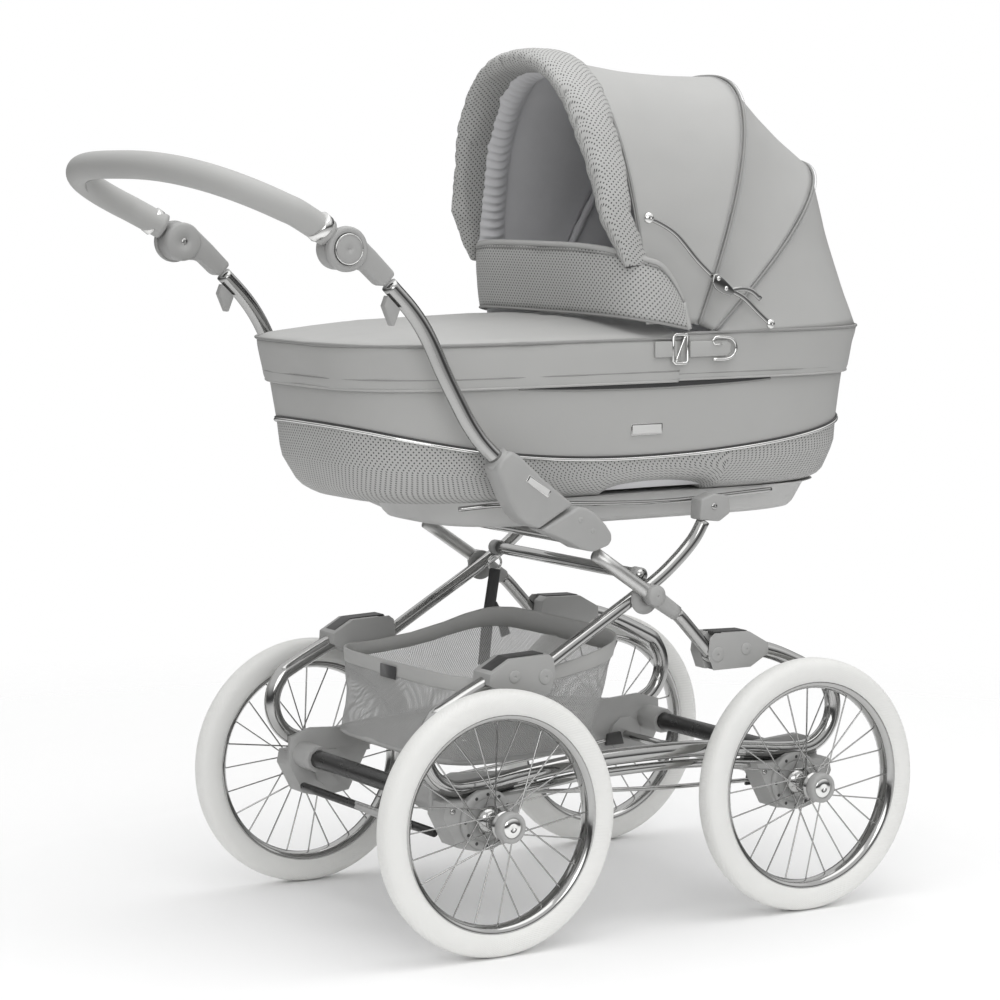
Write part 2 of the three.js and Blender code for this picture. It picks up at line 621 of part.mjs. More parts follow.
function hoodBack() {
  const rim = (inset) => {
    const row = [];
    for (let i = 0; i <= 16; i += 1) {
      const angle = Math.PI * mix(0.03, 0.97, i / 16);
      const [c, s] = [Math.cos(angle), Math.sin(angle)];
      const x = (210 - inset) * Math.sign(c) * Math.abs(c) ** (2 / COT_FULLNESS);
      row.push(vec(x, mix(-130, -455 + inset, s ** (2 / COT_FULLNESS)), COT_RIM_Z + 2));
    }
    return row;
  };
  const rear = shifted(ARCHES.rear, 0.35);
  const shell = between(
    stretched(archRow(rear, 0), rim(0), 4),
    stretched(archRow(rear, HOOD_SKIN), rim(HOOD_SKIN), 4),
  );
  const skirt = cut(skirtSolid, block([-300, 300], [SPLIT_Y - GAP, 600], [700, 900]));
  return join(skirt, shell);
}
add('hood_panel_rear', hoodBack(), FINISH.leatherette);

// The padded roll round the hood's mouth, and the two bows under the fabric.
function hoodRoll() {
  const outer = [];
  const inner = [];
  const columns = 18;
  const section = [[-ROLL_HALF, 0], [-ROLL_HALF + 6, 13], [0, 19], [ROLL_HALF - 6, 13], [ROLL_HALF, 0]];
  for (const [along, thick] of section) {
    const place = (inset) => archRow(ARCHES.front, inset, columns, 0.1).map((p) => p.add(vec(0, along, 0)));
    outer.push(place(-thick * 0.9 - 0.5));
    inner.push(place(thick * 0.9 + 0.5));
  }
  return between(outer, inner);
}
add('hood_roll', hoodRoll(), FINISH.perforated);

const BOW_START = 0.024; // a bow's feet end just above the cot's rim
function bow(arch) {
  return tube(archRow(arch, 9, 14, BOW_START), 4, 6);
}
add('bow_middle', bow(ARCHES.middle), FINISH.chrome);
add('bow_rear', bow(ARCHES.rear), FINISH.chrome);

// ---- Hood stays: jointed irons outside the hood that lock it open -----------------------------------------
const STAY_X = [218, 222];
const STAY_TOP = [-13, 978];
const STAY_ELBOW = [-127, 894];
const STAY_FOOT = [-217, 829];
function link(from, to, half, xs, ends) {
  const direction = new THREE.Vector2(to[0] - from[0], to[1] - from[1]).normalize();
  const [uy, uz] = [direction.x, direction.y];
  const corner = ([y, z], along, out) => [y + along * uy - out * uz, z + along * uz + out * uy];
  const bar = plate([
    corner(from, 0, -half), corner(to, 0, -half), corner(to, 0, half), corner(from, 0, half),
  ], xs);
  return join(bar, ...ends.map(([place, radius]) => barX(radius, xs, place, 8)));
}
addPair('stay_upper', link(STAY_TOP, STAY_ELBOW, 4, STAY_X, [[STAY_TOP, 8], [STAY_ELBOW, 9]]), FINISH.chrome);
const lowerX = STAY_X.map((x) => x + 4.3);
const stayLower = join(
  link(STAY_ELBOW, STAY_FOOT, 4, lowerX, [[STAY_ELBOW, 9], [STAY_FOOT, 7]]),
  link([-158, 873], [-197, 869], 3.5, lowerX, [[[-197, 869], 6]]),
);
addPair('stay_lower', stayLower, FINISH.chrome);

pram.position.y = -BOX_MIDDLE_Y;
pram.updateMatrixWorld(true);

export default pram;
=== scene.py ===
# %% [markdown]
# # A classic baby pram
# The frame of this pram comes from the CAD model: where every tube, block and shell sits, and how it moves.
# Here each piece gets its real surface. Sizes are written in millimetres, and Y is counted from the middle of
# the wheelbase, as a pram maker would measure it. One helper turns them into metres in the shared frame.

# %% Load the frame
import functools
import json
import math

import bmesh
import bpy
import numpy as np
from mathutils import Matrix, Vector, noise

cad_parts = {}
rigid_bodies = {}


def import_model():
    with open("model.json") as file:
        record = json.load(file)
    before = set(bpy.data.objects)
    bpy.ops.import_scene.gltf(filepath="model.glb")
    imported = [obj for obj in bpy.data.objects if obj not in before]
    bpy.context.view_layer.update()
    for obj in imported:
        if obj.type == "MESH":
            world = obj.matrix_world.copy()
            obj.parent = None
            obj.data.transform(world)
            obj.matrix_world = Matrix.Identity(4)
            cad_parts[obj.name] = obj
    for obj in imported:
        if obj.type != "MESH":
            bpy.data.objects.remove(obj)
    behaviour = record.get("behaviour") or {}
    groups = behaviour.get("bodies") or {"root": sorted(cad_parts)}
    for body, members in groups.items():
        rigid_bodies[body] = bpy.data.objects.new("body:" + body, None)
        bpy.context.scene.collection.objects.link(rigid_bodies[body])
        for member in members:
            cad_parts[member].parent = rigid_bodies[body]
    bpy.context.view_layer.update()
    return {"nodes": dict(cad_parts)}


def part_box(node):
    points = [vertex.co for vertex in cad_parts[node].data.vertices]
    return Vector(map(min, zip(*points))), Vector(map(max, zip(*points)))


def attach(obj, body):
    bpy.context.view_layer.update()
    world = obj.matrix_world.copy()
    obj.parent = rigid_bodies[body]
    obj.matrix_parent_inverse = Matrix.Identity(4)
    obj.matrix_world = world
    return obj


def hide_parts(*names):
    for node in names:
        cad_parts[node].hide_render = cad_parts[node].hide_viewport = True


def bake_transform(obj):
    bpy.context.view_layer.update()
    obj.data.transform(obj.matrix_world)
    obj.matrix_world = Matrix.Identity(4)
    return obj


for spare in list(bpy.data.objects):
    bpy.data.objects.remove(spare)
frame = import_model()
MM = 0.001
axle_box = [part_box("axle_" + end) for end in ("front", "rear")]
AXLE_Y = [(low.y + high.y) / 2 for low, high in axle_box]
MIDDLE_Y = -(AXLE_Y[0] + AXLE_Y[1]) / 2 / MM
HALF_BASE = (AXLE_Y[1] - AXLE_Y[0]) / 2 / MM
SIDES = {"right": -1, "left": 1}

# %% [markdown]
# ## Camera, light and floor
# Chrome shows whatever stands round it, so an all-white room would make it vanish. The sky here is bright
# overhead and darker near the horizon, and that puts a dark line along every tube. What the camera sees
# directly is plain white, and the floor is a wide pale sheet.

# %% Camera
scene = bpy.context.scene
scene.view_settings.view_transform = "Standard"
azimuth, elevation = math.radians(238.356), math.radians(6.052)
back = Vector((
    math.sin(azimuth) * math.cos(elevation),
    -math.cos(azimuth) * math.cos(elevation),
    math.sin(elevation),
))
camera = bpy.data.objects.new("camera", bpy.data.cameras.new("camera"))
camera.data.lens = 112.574
camera.data.sensor_width = 36
camera.location = (-3.7461, 2.2784, 1.0449)
camera.rotation_euler = (-back).to_track_quat("-Z", "Y").to_euler()
scene.collection.objects.link(camera)
scene.camera = camera
print("camera at", tuple(camera.location))


# %% Sky
def sky_light():
    world = bpy.data.worlds.new("studio")
    scene.world = world
    world.use_nodes = True
    nodes, links = world.node_tree.nodes, world.node_tree.links
    nodes.clear()
    place = nodes.new("ShaderNodeTexCoord")
    split = nodes.new("ShaderNodeSeparateXYZ")
    ramp = nodes.new("ShaderNodeValToRGB")
    stops = [(0.0, 0.8), (0.4, 0.6), (0.47, 0.1), (0.53, 0.1), (0.62, 0.5), (0.72, 1.0), (1.0, 1.1)]
    while len(ramp.color_ramp.elements) < len(stops):
        ramp.color_ramp.elements.new(0.5)
    for element, (position, value) in zip(ramp.color_ramp.elements, stops):
        element.position = position
        element.color = (value, value, value, 1)
    height = nodes.new("ShaderNodeMapRange")
    height.inputs["From Min"].default_value = -1
    seen = nodes.new("ShaderNodeLightPath")
    light = nodes.new("ShaderNodeBackground")
    light.inputs["Strength"].default_value = 0.88
    white = nodes.new("ShaderNodeBackground")
    white.inputs["Strength"].default_value = 1.0
    white.inputs["Color"].default_value = (1, 1, 1, 1)
    mix = nodes.new("ShaderNodeMixShader")
    out = nodes.new("ShaderNodeOutputWorld")
    links.new(place.outputs["Generated"], split.inputs[0])
    links.new(split.outputs["Z"], height.inputs["Value"])
    links.new(height.outputs["Result"], ramp.inputs["Fac"])
    links.new(ramp.outputs["Color"], light.inputs["Color"])
    links.new(seen.outputs["Is Camera Ray"], mix.inputs["Fac"])
    links.new(light.outputs[0], mix.inputs[1])
    links.new(white.outputs[0], mix.inputs[2])
    links.new(mix.outputs[0], out.inputs["Surface"])


def softbox(name, place, target, size, power):
    lamp = bpy.data.objects.new(name, bpy.data.lights.new(name, "AREA"))
    lamp.data.shape = "RECTANGLE"
    lamp.data.size, lamp.data.size_y = size
    lamp.data.energy = power
    lamp.location = place
    lamp.rotation_euler = (Vector(target) - Vector(place)).to_track_quat("-Z", "Y").to_euler()
    scene.collection.objects.link(lamp)


sky_light()
softbox("overhead", (-0.6, -0.2, 3.4), (0, 0, 0.6), (3.0, 3.0), 36)
softbox("near_side", (-3.4, 1.4, 1.7), (0, 0, 0.7), (2.4, 1.6), 30)
softbox("front_fill", (-1.5, -3.4, 2.2), (0, 0, 0.8), (1.6, 1.6), 2)

# %% [markdown]
# ## Shader maths in plain Python
# A finish is a small network of nodes. To keep it readable, one class wraps a socket and turns + - * / and
# comparisons into Math nodes, and one method makes every other node.


# %% Sockets and finishes
class Wire:
    """A node's output that can be used in an expression."""

    def __init__(self, finish, socket):
        self.finish, self.socket = finish, socket

    def combine(self, operation, first, second):
        return self.finish.node("ShaderNodeMath", [first, second], operation=operation)

    def __add__(self, other):
        return self.combine("ADD", self, other)

    def __sub__(self, other):
        return self.combine("SUBTRACT", self, other)

    def __rsub__(self, other):
        return self.combine("SUBTRACT", other, self)

    def __mul__(self, other):
        return self.combine("MULTIPLY", self, other)

    def __lt__(self, other):
        return self.combine("LESS_THAN", self, other)

    def __gt__(self, other):
        return self.combine("GREATER_THAN", self, other)

    __radd__ = __add__
    __rmul__ = __mul__


class Finish:
    """One material: a Principled shader and the nodes that feed it."""

    def __init__(self, name, colour, roughness, metallic=0.0):
        self.material = bpy.data.materials.new(name)
        self.material.use_nodes = True
        self.tree = self.material.node_tree
        self.shader = self.tree.nodes["Principled BSDF"]
        self.colour = (*colour, 1)
        self.feed("Base Color", self.colour)
        self.feed("Roughness", roughness)
        self.feed("Metallic", metallic)

    def plug(self, socket, value):
        if isinstance(value, Wire):
            self.tree.links.new(value.socket, socket)
        elif value is not None:
            socket.default_value = value

    def feed(self, socket, value):
        self.plug(self.shader.inputs[socket], value)

    def node(self, kind, values=(), output=0, **settings):
        made = self.tree.nodes.new(kind)
        for key, value in settings.items():
            setattr(made, key, value)
        pairs = values.items() if isinstance(values, dict) else enumerate(values)
        for key, value in pairs:
            self.plug(made.inputs[key], value)
        return Wire(self, made.outputs[output])

    def place(self, output="Object"):
        return self.node("ShaderNodeTexCoord", output=output)

    def noise(self, scale, detail=2.0, where=None):
        values = {"Vector": where or self.place(), "Scale": scale, "Detail": detail}
        return self.node("ShaderNodeTexNoise", values, output="Fac")

    def tint(self, mask, dark):
        """The base colour, multiplied by a darker grey where the mask is 1."""
        shade = tuple(c * dark for c in self.colour[:3]) + (1,)
        made = self.tree.nodes.new("ShaderNodeMix")
        made.data_type = "RGBA"
        self.plug(made.inputs["Factor"], mask)
        for socket, value in zip([s for s in made.inputs if s.type == "RGBA"], (self.colour, shade)):
            self.plug(socket, value)
        return Wire(self, next(s for s in made.outputs if s.type == "RGBA"))

    def bump(self, height, distance, strength=1.0, under=None):
        values = {"Height": height, "Distance": distance, "Strength": strength, "Normal": under}
        return self.node("ShaderNodeBump", values, output="Normal")


# %% [markdown]
# ## The finishes
# - Chrome is nearly a mirror, and a faint waviness keeps its reflections from looking drawn with a ruler.
# - Leatherette has a pebbled grain of cells about a millimetre wide. Its perforated form has staggered rows
#   of punched holes, laid out in the piece's own UV map, which is in metres, so that they follow the curve.
# - The basket's mesh is real openings: its Alpha is cut by the same kind of dots, only much finer.


# %% Metal and plastic
def chrome_finish(name="chrome", grey=0.44, roughness=0.09):
    made = Finish(name, (grey, grey, grey * 0.985), roughness, metallic=1.0)
    smear = made.noise(60, 3)
    made.feed("Roughness", smear * 0.08 + (roughness - 0.03))
    made.feed("Normal", made.bump(made.noise(35, 2), 0.0004, 0.35))
    return made.material


def plastic_finish(name, grey, roughness=0.42, warm=0.985):
    made = Finish(name, (grey, grey, grey * warm), roughness)
    made.feed("Base Color", made.tint(made.noise(22, 4), 0.86))
    made.feed("Roughness", made.noise(90, 3) * 0.2 + (roughness - 0.1))
    made.feed("Normal", made.bump(made.noise(2200, 1), 0.00012, 0.5))
    return made.material


def rubber_finish():
    made = Finish("white_rubber", (0.84, 0.84, 0.82), 0.6)
    ribs = made.node(
        "ShaderNodeTexWave", {"Vector": made.place("UV"), "Scale": 70.0, "Distortion": 0.4},
        output="Fac"
    )
    made.feed("Base Color", made.tint(made.noise(14, 3) * 0.5, 0.86))
    made.feed("Normal", made.bump(ribs, 0.0005, 0.35, made.bump(made.noise(900, 2), 0.0002, 0.4)))
    return made.material


chrome = chrome_finish()
bright_chrome = chrome_finish("bright_trim", 0.8, 0.06)
satin_steel = chrome_finish("satin_steel", 0.6, 0.4)
grey_plastic = plastic_finish("grey_plastic", 0.41)
tray_plastic = plastic_finish("tray_plastic", 0.6, 0.55)
dark_plastic = plastic_finish("dark_plastic", 0.045, 0.4)
black_steel = plastic_finish("black_steel", 0.018, 0.3)
blank_plate = plastic_finish("blank_plate", 0.7, 0.2)
white_rubber = rubber_finish()
print("hard finishes made")


# %% Leatherette, cotton and mesh
def dots(made, pitch, radius, shift):
    """A mask of round dots on a square grid in UV, moved by a share of the pitch."""
    spread = made.node("ShaderNodeMapping", {
        "Vector": made.place("UV"),
        "Location": (shift, shift, 0),
        "Scale": (1 / pitch, 1 / pitch, 1),
    })
    cell = made.node("ShaderNodeVectorMath", [spread], operation="FRACTION")
    centred = made.node("ShaderNodeVectorMath", [cell, (0.5, 0.5, 0)], operation="SUBTRACT")
    flat = made.node("ShaderNodeVectorMath", [centred, (1, 1, 0)], operation="MULTIPLY")
    reach = made.node("ShaderNodeVectorMath", [flat], output="Value", operation="LENGTH")
    return reach < radius / pitch


def leatherette_finish(name, grey, pitch=None, hole=0.0):
    made = Finish(name, (grey, grey, grey * 0.98), 0.5)
    grain = made.node("ShaderNodeTexVoronoi", {"Vector": made.place(), "Scale": 850.0}, output="Distance")
    soft = made.noise(9, 4)
    height = made.bump(grain, 0.00025, 0.45, made.bump(soft, 0.004, 0.22))
    made.feed("Roughness", soft * 0.22 + 0.4)
    made.feed("Base Color", made.tint(soft * 0.8, 0.9))
    if pitch:
        punched = dots(made, pitch, hole, 0.0) + dots(made, pitch, hole, 0.5)
        # The punched holes are painted nearly black: painted shade inside holes that the mesh does not cut.
        made.feed("Base Color", made.tint(punched, 0.12))
        height = made.bump(1 - punched, 0.0008, 0.6, height)
    made.feed("Normal", height)
    return made.material


def cotton_finish(name, grey, threads=1400.0):
    made = Finish(name, (grey, grey, grey * 1.02), 0.9)
    made.shader.inputs["Sheen Weight"].default_value = 0.25
    weave = made.node("ShaderNodeTexVoronoi", {"Vector": made.place(), "Scale": threads}, output="Distance")
    made.feed("Base Color", made.tint(made.noise(12, 4), 0.8))
    made.feed("Normal", made.bump(weave, 0.0003, 0.5, made.bump(made.noise(16, 4), 0.006, 0.3)))
    return made.material


def mesh_finish():
    made = Finish("basket_mesh", (0.46, 0.46, 0.455), 0.75)
    holes = dots(made, 0.0034, 0.0008, 0.0) + dots(made, 0.0034, 0.0008, 0.5)
    made.feed("Alpha", 1 - holes * 0.8)
    made.feed("Base Color", made.tint(made.noise(20, 3), 0.75))
    made.feed("Normal", made.bump(1 - holes, 0.0006, 0.5))
    return made.material


leatherette = leatherette_finish("leatherette", 0.46)
grip_leather = leatherette_finish("grip_leather", 0.46)
seam_leather = leatherette_finish("seam_leather", 0.3)
perforated = leatherette_finish("perforated_leatherette", 0.47, 0.0074, 0.00115)
lining = cotton_finish("lining_cotton", 0.85)
cushion_cotton = cotton_finish("cushion_cotton", 0.5)
webbing = cotton_finish("webbing", 0.06, 900.0)
thread = cotton_finish("thread", 0.5, 3000.0)
basket_mesh = mesh_finish()
print("soft finishes made")

# %% [markdown]
# ## Mesh helpers
# Almost everything on a pram is one of three things: a bent tube, a ring turned round an axle, or cloth
# stretched over bows. So there are three helpers. Each one ends in the same grid of points, which gets a
# UV map in metres from the distances between its points.


# %% Points to a piece
def signed(value, power):
    """A sine or cosine raised to a power with its sign kept, which gives a round outline fuller corners."""
    return math.copysign(abs(value) ** power, value)


def lengths_along(points):
    """How far along a line each of its points lies."""
    return np.concatenate([[0], np.cumsum(np.linalg.norm(np.diff(points, axis=0), axis=1))])


def evenly(points, count):
    """The same line as a number of evenly spaced points."""
    length = lengths_along(points)
    even = np.linspace(0, length[-1], count)
    return np.stack([np.interp(even, length, points[:, k]) for k in range(3)], 1)


def row_frame(points):
    return (np.asarray(points, float).reshape(-1, 3) - (0, MIDDLE_Y, 0)) * MM


def new_piece(name, points, faces, materials, smooth=True):
    mesh = bpy.data.meshes.new(name)
    mesh.from_pydata(row_frame(points).tolist(), [], faces)
    mesh.polygons.foreach_set("use_smooth", [smooth] * len(faces))
    for material in materials if isinstance(materials, list) else [materials]:
        mesh.materials.append(material)
    obj = bpy.data.objects.new(name, mesh)
    scene.collection.objects.link(obj)
    return obj


def outward(obj):
    """Turns the faces of a closed piece outward."""
    work = bmesh.new()
    work.from_mesh(obj.data)
    bmesh.ops.remove_doubles(work, verts=work.verts, dist=1e-7)
    bmesh.ops.recalc_face_normals(work, faces=work.faces)
    work.to_mesh(obj.data)
    work.free()
    return obj


def away_from(obj, centre):
    """Turns the faces of an open sheet away from a point, in millimetres."""
    middle = Vector(row_frame([centre])[0])
    lean = sum((p.center - middle).dot(p.normal) * p.area for p in obj.data.polygons)
    if lean < 0:
        obj.data.flip_normals()
    return obj


def surface(name, rows, materials, loop=False, loop_rows=False, lids=False, pick=None):
    """A grid of points, rows[i][j]. A loop joins its last column, or its last row, to its first."""
    rows = np.asarray(rows, float)
    count, width = rows.shape[:2]
    wide = np.concatenate([rows, rows[:, :1]], 1) if loop else rows
    tall = np.concatenate([wide, wide[:1]], 0) if loop_rows else wide
    across = np.linalg.norm(np.diff(tall, axis=1), axis=2)
    down = np.linalg.norm(np.diff(tall, axis=0), axis=2)
    u = np.concatenate([np.zeros((len(tall), 1)), np.cumsum(across, 1)], 1)
    u -= u[:, u.shape[1] // 2][:, None]
    v = np.concatenate([np.zeros((1, tall.shape[1])), np.cumsum(down, 0)], 0)
    faces, uvs, picks = [], [], []
    for i in range(len(tall) - 1):
        for j in range(tall.shape[1] - 1):
            corners = [(i, j), (i, j + 1), (i + 1, j + 1), (i + 1, j)]
            faces.append([(a % count) * width + b % width for a, b in corners])
            uvs += [(u[a, b] * MM, v[a, b] * MM) for a, b in corners]
            picks.append(pick(i / count, j / width) if pick else 0)
    if lids:
        for start in (0, (count - 1) * width):
            faces.append([start + j for j in range(width)])
            uvs += [(0, 0)] * width
            picks.append(0)
    obj = new_piece(name, rows, faces, materials)
    layer = obj.data.uv_layers.new(name="UVMap")
    layer.data.foreach_set("uv", [c for pair in uvs for c in pair])
    obj.data.polygons.foreach_set("material_index", picks)
    if loop_rows and loop or lids:
        outward(obj)
    return obj


def finished(obj, body, replaces=()):
    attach(obj, body)
    if replaces:
        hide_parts(*replaces)
    return obj


# %% Tubes and turned rings
def through(points, step=6.0):
    """A smooth line through some points, as evenly spaced points."""
    p = np.asarray(points, float)
    p = np.concatenate([[2 * p[0] - p[1]], p, [2 * p[-1] - p[-2]]])
    fine = []
    for a, b, c, d in zip(p, p[1:], p[2:], p[3:]):
        t = np.linspace(0, 1, 24, endpoint=False)[:, None]
        fine.append(
            0.5 * (
                2 * b + (c - a) * t + (2 * a - 5 * b + 4 * c - d) * t**2
                + (3 * b - a - 3 * c + d) * t**3
            )
        )
    fine = np.concatenate([*fine, [p[-2]]])
    return evenly(fine, max(3, round(lengths_along(fine)[-1] / step) + 1))


def tube_rows(path, radius, sides=20, closed=False, flat=1.0, up=(1, 0, 0)):
    """Rings of points round a path. A flat tube is thinner across the direction called up."""
    path = np.asarray(path, float)
    ahead = np.roll(path, -1, 0) - np.roll(path, 1, 0)
    if not closed:
        ahead[0], ahead[-1] = path[1] - path[0], path[-1] - path[-2]
    ahead /= np.linalg.norm(ahead, axis=1)[:, None]
    up = (0, 0, 1) if abs(ahead[0] @ np.asarray(up, float)) > 0.95 else up
    side = np.asarray(up, float) - ahead[0] * np.dot(up, ahead[0])
    angles = np.linspace(0, 2 * math.pi, sides, endpoint=False)
    radii = np.broadcast_to(radius, len(path))
    rows = []
    for point, direction, r in zip(path, ahead, radii):
        side = side - direction * np.dot(side, direction)
        side /= np.linalg.norm(side)
        other = np.cross(direction, side)
        rows.append([point + r * (flat * math.cos(a) * side + math.sin(a) * other) for a in angles])
    return rows


def tube(name, points, radius, material, sides=20, step=6.0, smooth_path=True, closed=False, **shape):
    path = through(points, step) if smooth_path else np.asarray(points, float)
    rows = tube_rows(path, radius, sides, closed, **shape)
    return surface(name, rows, material, loop=True, loop_rows=closed, lids=not closed)


def turned(name, outline, centre, material, facets=48, sign=1):
    """A ring turned about an axis along X, from a closed outline of (radius, x) points."""
    rows = []
    for radius, x in outline:
        angles = np.linspace(0, 2 * math.pi, facets, endpoint=False)
        rows.append([
            (
                centre[0] + sign * x, centre[1] + radius * math.cos(a), centre[2] + radius * math.sin(a)
            ) for a in angles
        ])
    return surface(name, rows, material, loop=True, loop_rows=True)


def baked(obj):
    """Gives a piece the mesh that its modifiers make, and removes them."""
    mesh = bpy.data.meshes.new_from_object(obj.evaluated_get(bpy.context.evaluated_depsgraph_get()))
    obj.modifiers.clear()
    obj.data = mesh
    return obj


def applied(obj, kind, **settings):
    """Adds a modifier and bakes it into the mesh."""
    modifier = obj.modifiers.new(kind.lower(), kind)
    for key, value in settings.items():
        setattr(modifier, key, value)
    return baked(obj)


def sharpen(obj, degrees=40):
    obj.data.set_sharp_from_angle(angle=math.radians(degrees))
    return obj


def merged(name, pieces):
    """Several pieces of one body as a single one."""
    work, materials = bmesh.new(), []
    for piece in pieces:
        slots = []
        for material in piece.data.materials:
            if material not in materials:
                materials.append(material)
            slots.append(materials.index(material))
        before = len(work.faces)
        work.from_mesh(piece.data)
        work.faces.ensure_lookup_table()
        for face in work.faces[before:]:
            face.material_index = slots[min(face.material_index, len(slots) - 1)]
    mesh = bpy.data.meshes.new(name)
    work.to_mesh(mesh)
    work.free()
    for material in materials:
        mesh.materials.append(material)
    for piece in pieces:
        bpy.data.objects.remove(piece)
    obj = bpy.data.objects.new(name, mesh)
    scene.collection.objects.link(obj)
    return obj


def plate(name, outline, xs, material, bevel=2.0, sign=1):
    """A moulded plate: an outline in Y and Z, from one X to another, with its edges rounded."""
    count = len(outline)
    points = [(sign * x, y, z) for x in xs for y, z in outline]
    sides = [[i, (i + 1) % count, count + (i + 1) % count, count + i] for i in range(count)]
    obj = outward(
        new_piece(name, points, [list(range(count)), list(range(count, 2 * count)), *sides], material)
    )
    applied(obj, "BEVEL", width=bevel * MM, segments=3, limit_method="ANGLE", angle_limit=math.radians(25))
    return sharpen(obj)


def softened(node, name, material, width=1.2):
    """A moulded copy of a CAD node, with its flat facets joined up and its edges rounded."""
    obj = bpy.data.objects.new(name, frame["nodes"][node].data.copy())
    scene.collection.objects.link(obj)
    obj.data.materials.clear()
    obj.data.materials.append(material)
    work = bmesh.new()
    work.from_mesh(obj.data)
    bmesh.ops.remove_doubles(work, verts=work.verts, dist=2e-5)
    bmesh.ops.dissolve_limit(work, angle_limit=math.radians(3), verts=work.verts, edges=work.edges)
    for face in work.faces:
        face.smooth = True
    work.to_mesh(obj.data)
    work.free()
    limit = math.radians(42)
    applied(
        obj, "BEVEL", width=width * MM, segments=2, limit_method="ANGLE", angle_limit=limit,
        use_clamp_overlap=True
    )
    return sharpen(obj, 48)


print("helpers ready")

# %% [markdown]
# ## Wheels
# A pram wheel is laced like a bicycle's: the wires leave two flanges on the hub, lean forward and backward in
# turn, and cross on their way to the rim. That is one wire repeated by a rule, so Geometry Nodes place it: a
# tree makes a wire, copies it round the hub once for each flange and lean, and joins the four fans.


# %% The tree that laces a wheel
def input_socket(tree, name, kind, default):
    socket = tree.interface.new_socket(name, in_out="INPUT", socket_type=kind)
    if default is not None:
        socket.default_value = default
    return socket.identifier


def spoke_tree():
    tree = bpy.data.node_groups.new("laced_spokes", "GeometryNodeTree")
    tree.interface.new_socket("Geometry", in_out="OUTPUT", socket_type="NodeSocketGeometry")
    floats = {
        "Hub Radius": 0.016, "Rim Radius": 0.139, "Flange": 0.017, "Lean": 0.42, "Wire Radius": 0.0011
    }
    ids = {"Wires": input_socket(tree, "Wires", "NodeSocketInt", 6)}
    ids.update({name: input_socket(tree, name, "NodeSocketFloat", value) for name, value in floats.items()})
    ids["Centre"] = input_socket(tree, "Centre", "NodeSocketVector", None)
    given = tree.nodes.new("NodeGroupInput").outputs

    def add(kind, links=(), **settings):
        made = tree.nodes.new(kind)
        for key, value in settings.items():
            setattr(made, key, value)
        for socket, value in dict(links).items():
            if isinstance(value, bpy.types.NodeSocket):
                tree.links.new(value, made.inputs[socket])
            else:
                made.inputs[socket].default_value = value
        return made

    def maths(operation, a, b):
        return add("ShaderNodeMath", {0: a, 1: b}, operation=operation).outputs[0]

    fans = add("GeometryNodeJoinGeometry")
    step = maths("DIVIDE", 2 * math.pi, given["Wires"])
    turn = maths("MULTIPLY", add("GeometryNodeInputIndex").outputs[0], step)
    ring = add("GeometryNodeCurvePrimitiveCircle", {"Resolution": 6, "Radius": given["Wire Radius"]})
    for number, (flange, lean) in enumerate([(-1, 1), (1, 1), (-1, -1), (1, -1)]):
        angle = maths("MULTIPLY", given["Lean"], lean)
        foot = add("ShaderNodeCombineXYZ", {
            "X": maths("MULTIPLY", given["Flange"], flange),
            "Y": maths("MULTIPLY", maths("SINE", angle, 0.0), maths("MULTIPLY", given["Hub Radius"], 2.2)),
            "Z": maths("MULTIPLY", given["Hub Radius"], 0.8),
        })
        tip = add("ShaderNodeCombineXYZ", {"Z": given["Rim Radius"]})
        wire = add("GeometryNodeCurvePrimitiveLine", {"Start": foot.outputs[0], "End": tip.outputs[0]})
        solid = add("GeometryNodeCurveToMesh", {
            "Curve": wire.outputs[0], "Profile Curve": ring.outputs[0], "Fill Caps": True,
        })
        points = add("GeometryNodeMeshLine", {"Count": given["Wires"], "Offset": (0, 0, 0)})
        phase = maths("ADD", turn, maths("MULTIPLY", step, number / 4))
        spin = add("ShaderNodeCombineXYZ", {"X": phase})
        fan = add("GeometryNodeInstanceOnPoints", {
            "Points": points.outputs[0], "Instance": solid.outputs[0], "Rotation": spin.outputs[0],
        })
        tree.links.new(fan.outputs[0], fans.inputs[0])
    placed = add("GeometryNodeTransform", {"Geometry": fans.outputs[0], "Translation": given["Centre"]})
    real = add("GeometryNodeRealizeInstances", {"Geometry": placed.outputs[0]})
    painted = add("GeometryNodeSetMaterial", {"Geometry": real.outputs[0], "Material": chrome})
    tree.links.new(painted.outputs[0], tree.nodes.new("NodeGroupOutput").inputs[0])
    return tree, ids


lacing, lacing_inputs = spoke_tree()
print("lacing inputs:", sorted(lacing_inputs))


# %% Bake a tree into a plain mesh
def grown(name, tree, ids, **values):
    obj = bpy.data.objects.new(name, bpy.data.meshes.new(name + "_seed"))
    scene.collection.objects.link(obj)
    modifier = obj.modifiers.new("grow", "NODES")
    modifier.node_group = tree
    for key, value in values.items():
        modifier[ids[key.replace("_", " ")]] = value
    return baked(obj)


# %% [markdown]
# The tyre is a fat ring with square shoulders, the rim a rolled channel with a lip on each side, and the hub
# a barrel between two flanges. The cap on the outside is a plastic ring with a polished, blank disc in it.

# %% Build the four wheels
TYRE_RADIUS, TYRE_SEAT, TYRE_HALF, TRACK = 180, 144.6, 19, 267


def rounded_ring(low, high, half, power=2.6, steps=24):
    middle, reach = (low + high) / 2, (high - low) / 2
    outline = []
    for angle in np.linspace(0, 2 * math.pi, steps, endpoint=False):
        c, s = math.cos(angle), math.sin(angle)
        out = signed(c, 2 / power)
        outline.append((middle + reach * out, half * signed(s, 2 / power)))
    return outline


